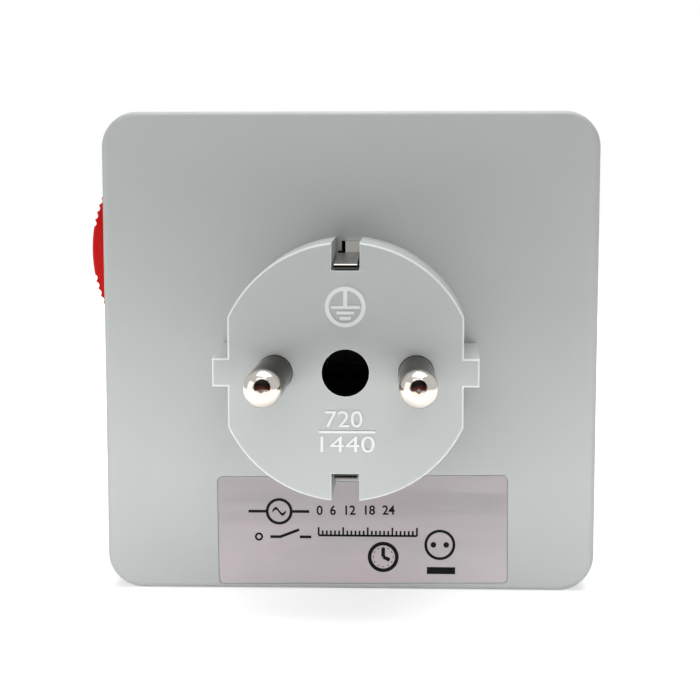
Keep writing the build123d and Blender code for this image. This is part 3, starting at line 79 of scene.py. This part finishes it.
class Shader:
    """A material with one principled shader, whose inputs are fed by noise in object coordinates."""

    def __init__(self, name, roughness, metallic=0.0, **sockets):
        self.material = bpy.data.materials.new(name)
        self.material.use_nodes = True
        self.nodes = self.material.node_tree.nodes
        self.links = self.material.node_tree.links
        self.principled = self.nodes["Principled BSDF"]
        self.principled.inputs["Roughness"].default_value = roughness
        self.principled.inputs["Metallic"].default_value = metallic
        for socket, value in sockets.items():
            self.principled.inputs[socket.replace("_", " ")].default_value = value
        self.place = self.nodes.new("ShaderNodeTexCoord").outputs["Object"]

    def link(self, source, target):
        self.links.new(source, target)

    def noise(self, scale, detail=3.0, stretch=ALIKE):
        """Noise whose features are 1 / scale metres wide, and longer along an axis with a small stretch."""
        mapping = self.nodes.new("ShaderNodeMapping")
        mapping.inputs["Scale"].default_value = stretch
        self.link(self.place, mapping.inputs["Vector"])
        noise = self.nodes.new("ShaderNodeTexNoise")
        noise.inputs["Scale"].default_value = scale
        noise.inputs["Detail"].default_value = detail
        self.link(mapping.outputs["Vector"], noise.inputs["Vector"])
        return noise.outputs["Fac"]

    def ramp(self, value, stops, interpolation="LINEAR"):
        """The value, 0 to 1, turned into a colour by (place, colour) stops."""
        ramp = self.nodes.new("ShaderNodeValToRGB")
        ramp.color_ramp.interpolation = interpolation
        elements = ramp.color_ramp.elements
        while len(elements) < len(stops):
            elements.new(0.5)
        for element, (place, colour) in zip(elements, stops):
            element.position = place
            element.color = colour
        self.link(value, ramp.inputs["Fac"])
        return ramp.outputs["Color"]

    def span(self, value, start, end, low=0.0, high=1.0):
        """Low where the value is at start, high where it is at end, and even between them."""
        mapped = self.nodes.new("ShaderNodeMapRange")
        for socket, number in (("From Min", start), ("From Max", end), ("To Min", low), ("To Max", high)):
            mapped.inputs[socket].default_value = number
        self.link(value, mapped.inputs["Value"])
        return mapped.outputs["Result"]

    def math(self, operation, first, second=0.0):
        """Arithmetic on outputs or numbers."""
        node = self.nodes.new("ShaderNodeMath")
        node.operation = operation
        for value, socket in zip((first, second), node.inputs):
            if isinstance(value, float):
                socket.default_value = value
            else:
                self.link(value, socket)
        return node.outputs["Value"]

    def along(self):
        """The X, Y and Z of the object coordinates."""
        parts = self.nodes.new("ShaderNodeSeparateXYZ")
        self.link(self.place, parts.inputs["Vector"])
        return parts.outputs["X"], parts.outputs["Y"], parts.outputs["Z"]

    def facing_y(self):
        """How far a surface faces along Y: -1 on the plug side, 0 on the walls round it."""
        parts = self.nodes.new("ShaderNodeSeparateXYZ")
        self.link(self.nodes.new("ShaderNodeNewGeometry").outputs["Normal"], parts.inputs["Vector"])
        return parts.outputs["Y"]

    def edges(self, width):
        """1 on the corners of the shape and 0 on its faces, whose normals a rounding leaves as they are."""
        at_corner, on_face = 0.86, 0.985
        rounded = self.nodes.new("ShaderNodeBevel")
        rounded.samples = 6
        rounded.inputs["Radius"].default_value = width
        flat = self.nodes.new("ShaderNodeNewGeometry")
        likeness = self.nodes.new("ShaderNodeVectorMath")
        likeness.operation = "DOT_PRODUCT"
        self.link(rounded.outputs["Normal"], likeness.inputs[0])
        self.link(flat.outputs["Normal"], likeness.inputs[1])
        return self.span(likeness.outputs["Value"], at_corner, on_face, 1.0, 0.0)

    def blend(self, share, first, second):
        """The first colour where the share is 0 and the second where it is 1."""
        mix = self.nodes.new("ShaderNodeMix")
        mix.data_type = "RGBA"
        self.link(share, mix.inputs["Factor"])
        for colour, socket in ((first, mix.inputs["A"]), (second, mix.inputs["B"])):
            if isinstance(colour, tuple):
                socket.default_value = colour
            else:
                self.link(colour, socket)
        return mix.outputs["Result"]

    def drift(self, dark, light, scale, detail=3.0):
        """A colour that wanders between two over the surface."""
        return self.ramp(self.noise(scale, detail), ((NOISE_LOW, dark), (NOISE_HIGH, light)))

    def mottle(self, colour, amount, scale, detail=2.0):
        """A colour that wanders a share darker and lighter over the surface."""
        return self.drift(scaled(colour, 1 - amount), scaled(colour, 1 + amount), scale, detail)

    def colour(self, source):
        self.link(source, self.principled.inputs["Base Color"])

    def rough(self, low, high, scale, stretch=ALIKE):
        """Roughness that wanders between two values."""
        uneven = self.span(self.noise(scale, 2.0, stretch), NOISE_LOW, NOISE_HIGH, low, high)
        self.link(uneven, self.principled.inputs["Roughness"])

    def bump(self, height, depth):
        bump = self.nodes.new("ShaderNodeBump")
        bump.inputs["Distance"].default_value = depth
        self.link(height, bump.inputs["Height"])
        self.link(bump.outputs["Normal"], self.principled.inputs["Normal"])


def moulded_surface(shader, roughness, grain=2600.0, depth=0.008 * MM):
    """The uneven sheen and the fine spark-eroded grain of moulded plastic."""
    shader.rough(roughness - 0.04, roughness + 0.06, 260.0)
    shader.bump(shader.noise(grain, 4.0), depth)


def moulded(name, colour, roughness, grain=2600.0, depth=0.008 * MM, mottle=0.02, **sockets):
    """Moulded plastic of one colour, which drifts slightly."""
    shader = Shader(name, roughness, **sockets)
    shader.colour(shader.mottle(colour, mottle, 90.0))
    moulded_surface(shader, roughness, grain, depth)
    return shader.material


def drawn_metal(name, colour, roughness, stretch):
    """Rolled or drawn metal, with fine lines along the axis that has the small stretch value."""
    shader = Shader(name, roughness, metallic=1.0)
    shader.colour(shader.mottle(colour, 0.06, 160.0))
    shader.rough(roughness - 0.05, roughness + 0.12, 700.0, stretch)
    shader.bump(shader.noise(1400.0, 3.0, stretch), 0.004 * MM)
    return shader.material


# ---- Materials, one for each slot of the record
def housing_material():
    """Light grey plastic, with a painted highlight on its corners, on the rounding of its face and on its
    raised marks, and painted shade that makes the inside of the centre recess very dark below its mouth.
    """
    grey, pale, bore_shade_colour = screen(193, 197, 195), screen(236, 240, 239), screen(7, 7, 8)
    roughness = 0.42
    shader = Shader("housing_plastic", roughness)
    x, y, z = shader.along()
    # Painted shade: inside the centre recess, from just below its mouth, the plastic is coloured a very dark
    # grey so that the bore reads as deep shade.
    across = shader.math("ADD", shader.math("MULTIPLY", x, x), shader.math("MULTIPLY", z, z))
    in_bore = shader.span(shader.math("SQRT", across), RECESS_R + 0.05 * MM, RECESS_R + 0.1 * MM, 1.0, 0.0)
    below_mouth = shader.span(y, 0.15 * MM, 0.25 * MM)
    painted_bore_shade = shader.math("MULTIPLY", in_bore, below_mouth)
    # Painted highlight: the raised marks, the corners near the face and the rounding of the face's edge are
    # coloured pale, as if they catch the light.
    raised = shader.span(y, -0.14 * MM, -0.06 * MM, 1.0, 0.0)
    near_face = shader.span(y, 0.5 * MM, 4.0 * MM, 0.9, 0.0)
    corners = shader.math("MULTIPLY", shader.edges(0.22 * MM), near_face)
    off_flat = shader.span(shader.facing_y(), -0.98, -0.86)
    rounding = shader.math("MULTIPLY", off_flat, shader.span(y, 0.26 * MM, 0.36 * MM, 1.0, 0.0))
    # Painted highlight: the pale colour is blended over the grey wherever one of these masks is high.
    painted_highlight = shader.math("MAXIMUM", shader.math("MAXIMUM", corners, rounding), raised)
    grey_with_highlight = shader.blend(painted_highlight, shader.mottle(grey, 0.012, 90.0), pale)
    shader.colour(shader.blend(painted_bore_shade, grey_with_highlight, bore_shade_colour))
    moulded_surface(shader, roughness)
    return shader.material


def label_material():
    """Silver foil, faintly brushed along its length, with a drifting pink cast. Painted shade darkens it
    towards the boss.
    """
    shader = Shader("label_foil", 0.42, metallic=0.35)
    cast = ((0.28, screen(189, 185, 185)), (0.5, screen(194, 187, 190)), (0.72, screen(199, 188, 193)))
    foil = shader.ramp(shader.noise(150.0, 3.0, (0.6, 1.0, 1.3)), cast)
    # Painted shade: the foil is blended towards dark grey as it rises towards the boss.
    shade_start, shade_end = BODY_LOW.z + 2.5 * MM, BODY_LOW.z + 13 * MM
    painted_upper_shade = shader.span(shader.along()[2], shade_start, shade_end, 0.0, 0.42)
    shader.colour(shader.blend(painted_upper_shade, foil, screen(96, 92, 94)))
    shader.rough(0.34, 0.5, 900.0, (0.05, 1.0, 1.0))
    shader.bump(shader.noise(4200.0, 2.0, (0.06, 1.0, 1.0)), 0.003 * MM)
    return shader.material


def nickel_material():
    """Nickel plate, bright on the pins' tips, with painted shade on their shanks, and hairlines round the
    pins.
    """
    shader = Shader("bright_nickel", 0.13, metallic=1.0)
    fade = 0.4 * MM
    # Painted shade: behind the tips, the shanks' colour is darkened and their specular tint is turned down to
    # grey.
    shank = shader.span(shader.along()[1], TIP_END - fade, TIP_END + fade)
    bright = shader.drift(screen(226, 219, 210), screen(238, 232, 224), 220.0)
    shank_shade_colour = shader.drift(screen(148, 145, 139), screen(160, 157, 150), 180.0)
    shader.colour(shader.blend(shank, bright, shank_shade_colour))
    shank_shaded_tint = shader.blend(shank, WHITE, (0.25, 0.25, 0.24, 1.0))
    shader.link(shank_shaded_tint, shader.principled.inputs["Specular Tint"])
    shader.rough(0.07, 0.16, 900.0, (1.0, 0.2, 1.0))
    shader.bump(shader.noise(2600.0, 3.0, (0.3, 1.0, 0.3)), 0.0016 * MM)
    return shader.material


def earth_material():
    """Drawn strip, grey along its length, with a painted dark reflection on the end that faces the wall
    socket.
    """
    lines = (1.0, 0.08, 0.3)
    shader = Shader("earth_strip", 0.2, metallic=1.0)
    grey = shader.drift(screen(146, 144, 140), screen(154, 152, 148), 160.0)
    # Painted dark reflection: faces that point along -Y, towards the wall socket, are coloured very dark.
    painted_dark_end = shader.span(shader.facing_y(), -0.97, -0.85, 1.0, 0.0)
    shader.colour(shader.blend(painted_dark_end, grey, screen(30, 27, 26)))
    shader.rough(0.15, 0.32, 700.0, lines)
    shader.bump(shader.noise(1400.0, 3.0, lines), 0.004 * MM)
    return shader.material


def ivory_material():
    return moulded("ivory_plastic", screen(250, 249, 244), 0.38)


def shutter_material():
    return moulded("shutter_plastic", screen(184, 188, 186), 0.4)


def carrier_material():
    return moulded("carrier_plastic", screen(214, 209, 196), 0.5, grain=1800.0)


def brass_material():
    return drawn_metal("brass_strip", screen(205, 178, 112), 0.27, (0.3, 0.08, 1.0))


def dial_material():
    return moulded("dial_plastic", screen(226, 227, 224), 0.36, grain=3200.0)


def tappet_material():
    return moulded("tappet_plastic", screen(58, 59, 62), 0.34, mottle=0.06)


def steel_material():
    return drawn_metal("plain_steel", screen(168, 168, 170), 0.3, (1.0, 0.15, 1.0))


def motor_material():
    """Zinc-plated sheet: flakes of slightly different grey under a soft sheen."""
    shader = Shader("zinc_sheet", 0.32, metallic=1.0)
    cells = shader.nodes.new("ShaderNodeTexVoronoi")
    cells.inputs["Scale"].default_value = 420.0
    shader.link(shader.place, cells.inputs["Vector"])
    flake = cells.outputs["Color"]
    shader.colour(shader.ramp(flake, ((0.0, screen(160, 160, 154)), (1.0, screen(196, 195, 186)))))
    shader.link(shader.span(flake, 0.0, 1.0, 0.26, 0.42), shader.principled.inputs["Roughness"])
    shader.bump(shader.noise(1500.0, 3.0), 0.004 * MM)
    return shader.material


def movement_material():
    return moulded("acetal", screen(228, 225, 212), 0.33, grain=2000.0, Subsurface_Weight=0.05)


def copper_material():
    """Layers of enamelled wire, wound side by side along the motor's axis."""
    shader = Shader("copper_winding", 0.3, metallic=0.85, Coat_Weight=0.5)
    wave = shader.nodes.new("ShaderNodeTexWave")
    wave.bands_direction = "Y"
    wave.inputs["Scale"].default_value = 1100.0
    wave.inputs["Distortion"].default_value = 0.6
    shader.link(shader.place, wave.inputs["Vector"])
    wire = wave.outputs["Fac"]
    shader.colour(shader.ramp(wire, ((0.0, screen(120, 58, 30)), (1.0, screen(206, 122, 78)))))
    shader.bump(wire, 0.05 * MM)
    return shader.material


def magnet_material():
    """Sintered ferrite, dark grey with a fine speckle."""
    shader = Shader("ferrite", 0.55)
    speckle = ((0.35, screen(38, 38, 40)), (0.6, screen(60, 60, 63)), (0.75, screen(88, 88, 92)))
    shader.colour(shader.ramp(shader.noise(3200.0, 5.0), speckle))
    shader.rough(0.45, 0.7, 1500.0)
    shader.bump(shader.noise(2200.0, 5.0), 0.012 * MM)
    return shader.material


def resistor_material():
    """A blue lacquered body with four colour rings, along Z."""
    low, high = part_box("motor_resistor")
    shader = Shader("resistor_lacquer", 0.28, Coat_Weight=0.4)
    blue, brown = screen(96, 140, 158), screen(92, 52, 30)
    red, gold = screen(168, 40, 34), screen(186, 150, 72)
    ring_share = 0.04
    stops = [(0.0, blue)]
    for start, ring_colour in ((0.36, brown), (0.45, red), (0.54, brown), (0.64, gold)):
        stops += [(start, ring_colour), (start + ring_share, blue)]
    along = shader.span(shader.along()[2], low.z, high.z)
    shader.colour(shader.ramp(along, stops, "CONSTANT"))
    shader.bump(shader.noise(900.0, 3.0), 0.02 * MM)
    return shader.material


def lead_material(name, colour):
    return moulded(name, colour, 0.4, grain=1200.0, depth=0.01 * MM, mottle=0.06)


def switch_material():
    return moulded("switch_plastic", screen(38, 38, 40), 0.3, mottle=0.08)


def plunger_material():
    return moulded("plunger_plastic", screen(188, 60, 48), 0.3)


def override_material():
    """Bright red plastic with a soft, slightly uneven sheen."""
    shader = Shader("override_plastic", 0.36, Specular_IOR_Level=0.25)
    shader.colour(shader.drift(screen(206, 8, 8), screen(214, 14, 13), 140.0))
    shader.rough(0.3, 0.42, 300.0)
    shader.bump(shader.noise(2400.0, 4.0), 0.006 * MM)
    return shader.material


def ink_material(name, colour):
    """Screen-printed ink, slightly uneven in density and sheen."""
    shader = Shader(name, 0.5, Specular_IOR_Level=0.12)
    shader.colour(shader.mottle(colour, 0.18, 1400.0, 4.0))
    shader.rough(0.42, 0.6, 1200.0)
    shader.bump(shader.noise(5200.0, 3.0), 0.002 * MM)
    return shader.material


MATERIALS = {
    "housing": housing_material(),
    "label": label_material(),
    "nickel": nickel_material(),
    "earth_metal": earth_material(),
    "ivory": ivory_material(),
    "shutter": shutter_material(),
    "carrier": carrier_material(),
    "brass": brass_material(),
    "dial": dial_material(),
    "tappet": tappet_material(),
    "steel": steel_material(),
    "motor_metal": motor_material(),
    "movement": movement_material(),
    "copper": copper_material(),
    "magnet": magnet_material(),
    "resistor": resistor_material(),
    "lead": lead_material("neutral_lead", screen(44, 74, 148)),
    "switch": switch_material(),
    "plunger": plunger_material(),
    "override": override_material(),
}


def dress(name, material):
    """Every material slot of a CAD node's object gets one material."""
    for place in NODES[name].material_slots:
        place.material = material


for node_name in NODES:
    dress(node_name, MATERIALS[SLOT_OF[node_name]])
# Painted shade: the centre screw deep in the recess is coloured a very dark grey so that the recess reads
# dark.
dress("centre_screw", drawn_metal("bore_shade_screw", screen(30, 30, 32), 0.4, (1.0, 0.2, 1.0)))
dress("motor_lead_live", lead_material("live_lead", screen(104, 62, 40)))
label_ink = ink_material("label_ink", screen(12, 12, 14))
dial_ink = ink_material("dial_ink", screen(46, 48, 54))
pointer_ink = ink_material("pointer_ink", screen(198, 24, 20))


# ---- Flat shapes: drawn in a plane, then given a thickness
def mm(*numbers):
    return tuple(number * MM for number in numbers)


def circle(radius, at=(0.0, 0.0), steps=72):
    turns = (2 * math.pi * step / steps for step in range(steps))
    return [(at[0] + radius * math.cos(turn), at[1] + radius * math.sin(turn)) for turn in turns]


def bar(start, end, width):
    """A straight stroke with square ends."""
    along = (Vector(end) - Vector(start)).normalized()
    side = Vector((-along.y, along.x)) * width / 2
    corners = ((start, -1), (end, -1), (end, 1), (start, 1))
    return [tuple(Vector(point) + step * side) for point, step in corners]


def to_mesh(data, rise):
    """The corners and faces of a curve or text, from height 0 to rise."""
    data.extrude = rise / 2
    holder = bpy.data.objects.new("holder", data)
    bpy.context.scene.collection.objects.link(holder)
    graph = bpy.context.evaluated_depsgraph_get()
    mesh = bpy.data.meshes.new_from_object(holder.evaluated_get(graph))
    corners = [vertex.co + Vector((0, 0, rise / 2)) for vertex in mesh.vertices]
    faces = [tuple(face.vertices) for face in mesh.polygons]
    bpy.data.objects.remove(holder)
    bpy.data.meshes.remove(mesh)
    return corners, faces


def shape(loops, rise):
    """A filled outline; a loop inside another one is a hole."""
    data = bpy.data.curves.new("shape", "CURVE")
    data.dimensions = "2D"
    data.fill_mode = "BOTH"
    for loop in loops:
        spline = data.splines.new("POLY")
        spline.points.add(len(loop) - 1)
        for point, (x, y) in zip(spline.points, loop):
            point.co = (x, y, 0, 1)
        spline.use_cyclic_u = True
    return to_mesh(data, rise)


def digits(text, centre, height, width, rise, slope=0.0, weight=0.0):
    """A line of digits of a height about its centre, stretched to a width unless that is None."""
    data = bpy.data.curves.new("digits", "FONT")
    data.body = text
    data.offset = weight
    corners, faces = to_mesh(data, rise)
    left, bottom = (min(corner[axis] for corner in corners) for axis in (0, 1))
    right, top = (max(corner[axis] for corner in corners) for axis in (0, 1))
    tall = height / (top - bottom)
    wide = width / (right - left) if width else tall
    turn = Matrix.Rotation(math.radians(slope), 3, "Z")
    placed = []
    for corner in corners:
        x, y = (corner.x - (left + right) / 2) * wide, (corner.y - (bottom + top) / 2) * tall
        placed.append(turn @ Vector((x, y, 0)) + Vector((*centre, corner.z)))
    return placed, faces


def plane(origin, right, up):
    """The matrix that carries a shape drawn flat to the plane at origin with these two directions."""
    out = Vector(right).cross(Vector(up))
    matrix = Matrix((right, up, out)).transposed().to_4x4()
    matrix.translation = Vector(origin)
    return matrix


def piece(name, shapes, placing, material, body):
    """One object made of flat shapes; placing is one matrix, or one for each shape."""
    corners, faces = [], []
    matrices = placing if isinstance(placing, list) else [placing] * len(shapes)
    for (shape_corners, shape_faces), matrix in zip(shapes, matrices):
        first = len(corners)
        corners += [matrix @ corner for corner in shape_corners]
        faces += [tuple(first + index for index in face) for face in shape_faces]
    mesh = bpy.data.meshes.new(name)
    mesh.from_pydata(corners, [], faces)
    mesh.materials.append(material)
    mesh.validate()
    thing = bpy.data.objects.new(name, mesh)
    bpy.context.scene.collection.objects.link(thing)
    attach(thing, body)


# ---- Symbols in ink
INK = 0.02 * MM


def stroke(start, end, width, rise=INK):
    return shape([bar(start, end, width)], rise)


def ring(outer, inner, at):
    return shape([circle(outer, at), circle(inner, at)], INK)


def level_lines(spans, height, width):
    """Level strokes at one height, one for each (start, end) in millimetres."""
    return [stroke((start * MM, height), (end * MM, height), width) for start, end in spans]


def dial_symbol(centre, radius, line, hours=12):
    """A clock face: a ring, a tick for each hour and two hands."""
    ticks_from, long_hand, short_hand = 0.66, (0.0, 0.6), (0.42, -0.2)
    marks = [ring(radius, radius - line, centre)]
    for hour in range(hours):
        turn = Vector((math.cos(2 * math.pi * hour / hours), math.sin(2 * math.pi * hour / hours)))
        inner = Vector(centre) + turn * radius * ticks_from
        outer = Vector(centre) + turn * (radius - line * 1.6)
        marks.append(stroke(inner, outer, line * 0.6))
    for x, y in (long_hand, short_hand):
        marks.append(stroke(centre, (centre[0] + radius * x, centre[1] + radius * y), line))
    return marks


def wave_mark(centre, width, height, line, steps=18):
    """One period of a wave, drawn as a stroke of even width."""
    upper, lower = [], []
    for step in range(steps + 1):
        share = step / steps
        x = centre[0] + (share - 0.5) * width
        y = centre[1] + height / 2 * math.sin(2 * math.pi * share)
        upper.append((x, y + line / 2))
        lower.append((x, y - line / 2))
    return shape([upper + lower[::-1]], INK)


# ---- Print on the label, placed from the middle of the boss
LABEL_LINE = 0.42 * MM


def current_symbol():
    """A ring round a wave, with a line on either side."""
    middle, radius = mm(-10.47, -22.71), 2.0 * MM
    marks = [ring(radius, radius - LABEL_LINE, middle), wave_mark(middle, 2.0 * MM, 0.9 * MM, LABEL_LINE)]
    return marks + level_lines(((-15.05, -12.47), (-8.47, -5.99)), middle[1], LABEL_LINE)


def switch_symbol():
    """A line with an open switch in it, and a small ring to its left."""
    height, lift = mm(-26.55, 1.1)
    marks = level_lines(((-11.8, -10.2), (-7.4, -5.7)), height, LABEL_LINE)
    marks.append(stroke((-10.3 * MM, height), (-7.5 * MM, height + lift), LABEL_LINE))
    marks.append(ring(0.62 * MM, 0.32 * MM, (-13.5 * MM, height)))
    return marks


def hour_scale(hours=24):
    """A ruler with a tick at each hour, taller at every sixth."""
    start, end, height = mm(-4.6, 10.0, -26.3)
    tall, short = mm(1.25, 0.75)
    marks = [stroke((start, height), (end, height), 0.3 * MM)]
    for hour in range(hours + 1):
        x = start + (end - start) * hour / hours
        top = height + (tall if hour % 6 == 0 else short)
        marks.append(stroke((x, height), (x, top), 0.27 * MM))
    return marks


def socket_symbol():
    """A socket seen from its front: a ring with two dots."""
    middle, outer, inner, dot, apart = mm(13.4, -27.6), 2.3 * MM, 1.88 * MM, 0.42 * MM, 0.95 * MM
    marks = [ring(outer, inner, middle)]
    for side in (-1, 1):
        marks.append(shape([circle(dot, (middle[0] + side * apart, middle[1]))], INK))
    return marks


def label_print():
    """Two rows of plain symbols and numbers, with a clock, a socket and a bar below and beside them."""
    slope, weight = 0.6, 0.02
    numbers = digits("0  6  12  18  24", mm(0.9, -22.45), 1.45 * MM, 11.6 * MM, INK, slope, weight)
    foot = stroke(mm(11.5, -31.5), mm(15.7, -31.5), 1.05 * MM)
    marks = current_symbol() + [numbers] + switch_symbol() + hour_scale()
    marks += dial_symbol(mm(5.0, -29.5), 2.3 * MM, 0.55 * MM) + socket_symbol() + [foot]
    placing = plane((0, LABEL_FACE, 0), (1, 0, 0), (0, 0, 1))
    piece("label_print", marks, placing, label_ink, "body")


# ---- Raised marks on the plug face
def boss_marks():
    """Numbers above and below a line, under the centre recess."""
    rise, height = mm(0.2, 2.2)
    marks = [
        digits("720", mm(-0.2, -6.2), height, 5.0 * MM, rise),
        stroke(mm(-3.55, -7.95), mm(4.05, -7.95), 0.3 * MM, rise),
        digits("1440", mm(0.3, -9.6), height, 7.3 * MM, rise),
    ]
    placing = plane((0, BOSS_FACE, 0), (1, 0, 0), (0, 0, 1))
    piece("boss_numerals", marks, placing, MATERIALS["housing"], "body")


# ---- Print on the dial, the housing's front and its side
HOUR_FACE_INNER = Vector((22.8 * MM, FRONT_FACE + 0.9 * MM))
HOUR_FACE_OUTER = Vector((27.2 * MM, FRONT_FACE - 0.1 * MM))


def dial_plane(angle, share):
    """The plane at an angle on the sloping hour face, a share of the way from its inner to its outer edge."""
    spot = HOUR_FACE_INNER.lerp(HOUR_FACE_OUTER, share)
    slope = (HOUR_FACE_OUTER - HOUR_FACE_INNER).normalized()
    turn = math.radians(angle)
    outward = Vector((math.cos(turn), 0, math.sin(turn)))
    along = Vector((-math.sin(turn), 0, math.cos(turn)))
    up = outward * slope.x + Vector((0, slope.y, 0))
    return plane(outward * spot.x + Vector((0, spot.y, 0)), along, up)


def dial_print():
    """The hours, and a stroke for each quarter, longest at the hour and shorter at the half."""
    hours, quarters = 24, 4
    rise, numeral, line = mm(0.03, 1.6, 0.16)
    lengths = mm(0.95, 0.4, 0.65, 0.4)
    numerals_at, strokes_at = 0.4, 0.97
    marks, places = [], []
    for hour in range(hours):
        marks.append(digits(str(hour or hours), (0, 0), numeral, None, rise))
        places.append(dial_plane(360 * hour / hours, numerals_at))
    for step in range(hours * quarters):
        marks.append(stroke((0, -lengths[step % quarters]), (0, 0), line, rise))
        places.append(dial_plane(360 * step / (hours * quarters), strokes_at))
    piece("dial_print", marks, places, dial_ink, "dial")


def front_pointer():
    """The time mark above the dial: a small raised triangle that points at the hour."""
    wide, top, tip, rise = mm(1.5, 35.0, 33.2, 0.15)
    mark = shape([[(-wide, top), (0, tip), (wide, top)]], rise)
    placing = plane((0, FRONT_FACE, 0), (-1, 0, 0), (0, 0, 1))
    piece("hour_pointer", [mark], placing, pointer_ink, "body")


def slider_marks():
    """Print by the override slider: a clock for timed use above it, a stroke for always on below it."""
    low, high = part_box("override_slider")
    middle, clock_gap, stroke_gap, half_stroke = mm(-27.0, 3.0, 7.0, 1.4)
    marks = dial_symbol((middle, high.z + clock_gap), 1.7 * MM, 0.3 * MM)
    stroke_z = low.z - stroke_gap
    foot, head = (middle, stroke_z - half_stroke), (middle, stroke_z + half_stroke)
    marks.append(stroke(foot, head, 0.5 * MM))
    placing = plane((LEFT_WALL, 0, 0), (0, -1, 0), (0, 0, 1))
    piece("slider_print", marks, placing, dial_ink, "body")


label_print()
boss_marks()
dial_print()
front_pointer()
slider_marks()


# ---- Floor, light and camera
FLOOR_REACH = 3.0
FLOOR_GAP = 0.05 * MM
CARD_PLACE = (0.01, -0.24, 0.12)
CARD_R = 0.22
WARM_BELOW = 0.07
MIDDLE = (0, 0.02, 0)
LAMPS = (  # name, place, aim, (width, height) in metres, watts
    ("key", (-0.1, -0.9, 0.75), MIDDLE, (1.1, 1.1), 3.25),
    ("top", (0.05, 0.1, 0.7), (0, 0.0, 0.02), (0.6, 0.6), 4.8),
    ("side", (-0.6, -0.25, 0.15), MIDDLE, (0.5, 0.5), 0.52),
    ("low_middle", (0.0, -0.045, -0.033), (0, 0.017, -0.01), (0.26, 0.02), 0.039),
    ("low_left", (-0.07, -0.05, -0.032), (-0.03, 0.017, -0.02), (0.06, 0.03), 0.0166),
    ("low_right", (0.07, -0.05, -0.032), (0.03, 0.017, -0.02), (0.06, 0.03), 0.0125),
)
WORLD_FILL = 0.1
WORLD_SEEN_BY = (("Is Glossy Ray", 0.62), ("Is Transmission Ray", 1.0), ("Is Camera Ray", 1.0))
EYE = mm(6.45, -179.37, 20.68)
LOOKS_DOWN, TURNS_LEFT = 5.59, 1.86
LENS, SENSOR = 69.36, 36.0


def floor_material():
    """A pale matt floor, which glows to the camera and in reflections: it reads as white past the shadow."""
    shader = Shader("floor_paper", 0.9, Specular_IOR_Level=0.0)
    shader.colour(shader.mottle(screen(236, 236, 236), 0.004, 30.0))
    shader.bump(shader.noise(900.0), 0.01 * MM)
    path = shader.nodes.new("ShaderNodeLightPath").outputs
    reach = shader.nodes.new("ShaderNodeVectorMath")
    reach.operation = "LENGTH"
    shader.link(shader.place, reach.inputs[0])
    mirrored = shader.math("MULTIPLY", path["Is Glossy Ray"], 0.7)
    seen = shader.math("MAXIMUM", path["Is Camera Ray"], mirrored)
    glow = shader.math("MULTIPLY", seen, shader.span(reach.outputs["Value"], 0.06, 0.25, 0.55, 1.0))
    shader.principled.inputs["Emission Color"].default_value = WHITE
    shader.link(glow, shader.principled.inputs["Emission Strength"])
    return shader.material


def card_material():
    """Black card, warm brown in its lower part."""
    shader = Shader("reflector_black", 0.8, Specular_IOR_Level=0.0)
    warm = shader.span(shader.along()[2], 0.0, WARM_BELOW, 1.0, 0.0)
    shader.colour(shader.blend(warm, screen(12, 11, 11), screen(96, 44, 36)))
    return shader.material


def panel(name, placing, outline, material):
    """A flat stage card with an outline drawn in its own plane."""
    mesh = bpy.data.meshes.new(name)
    corners = [placing @ Vector((x, y, 0)) for x, y in outline]
    mesh.from_pydata(corners, [], [tuple(range(len(corners)))])
    mesh.materials.append(material)
    card = bpy.data.objects.new(name, mesh)
    bpy.context.scene.collection.objects.link(card)
    return card


def floor():
    ground = plane((0, 0, FLOOR_Z - FLOOR_GAP), (1, 0, 0), (0, 1, 0))
    square = [(-FLOOR_REACH, -FLOOR_REACH), (FLOOR_REACH, -FLOOR_REACH)]
    square += [(FLOOR_REACH, FLOOR_REACH), (-FLOOR_REACH, FLOOR_REACH)]
    panel("floor", ground, square, floor_material())


def dark_card():
    """A round card behind the camera, which shows in reflections alone."""
    card = panel("dark_card", plane(CARD_PLACE, (1, 0, 0), (0, 0, 1)), circle(CARD_R), card_material())
    card.visible_camera = False
    card.visible_diffuse = False
    card.visible_shadow = False


def softbox(name, place, aim, size, power):
    light = bpy.data.lights.new(name, "AREA")
    light.shape = "RECTANGLE"
    light.size, light.size_y = size
    light.energy = power
    lamp = bpy.data.objects.new(name, light)
    lamp.location = place
    lamp.rotation_euler = (Vector(aim) - Vector(place)).to_track_quat("-Z", "Y").to_euler()
    lamp.visible_camera = False
    bpy.context.scene.collection.objects.link(lamp)


def studio_world():
    """A dim even fill on surfaces, a light grey room in reflections, and white behind it for the camera."""
    world = bpy.data.worlds.new("studio")
    world.use_nodes = True
    bpy.context.scene.world = world
    nodes, links = world.node_tree.nodes, world.node_tree.links
    path = nodes.new("ShaderNodeLightPath").outputs
    shader = nodes["Background"].outputs["Background"]
    nodes["Background"].inputs["Color"].default_value = WHITE
    nodes["Background"].inputs["Strength"].default_value = WORLD_FILL
    for ray, strength in WORLD_SEEN_BY:
        seen = nodes.new("ShaderNodeBackground")
        seen.inputs["Color"].default_value = WHITE
        seen.inputs["Strength"].default_value = strength
        mix = nodes.new("ShaderNodeMixShader")
        links.new(path[ray], mix.inputs["Fac"])
        links.new(shader, mix.inputs[1])
        links.new(seen.outputs["Background"], mix.inputs[2])
        shader = mix.outputs["Shader"]
    links.new(shader, nodes["World Output"].inputs["Surface"])


def camera():
    data = bpy.data.cameras.new("camera")
    data.sensor_width = SENSOR
    data.lens = LENS
    data.clip_start = 0.01
    eye = bpy.data.objects.new("camera", data)
    eye.location = EYE
    eye.rotation_euler = (math.radians(90 - LOOKS_DOWN), 0.0, math.radians(TURNS_LEFT))
    bpy.context.scene.collection.objects.link(eye)
    bpy.context.scene.camera = eye


floor()
dark_card()
for lamp_values in LAMPS:
    softbox(*lamp_values)
studio_world()
camera()

bpy.context.scene.view_settings.view_transform = "Standard"
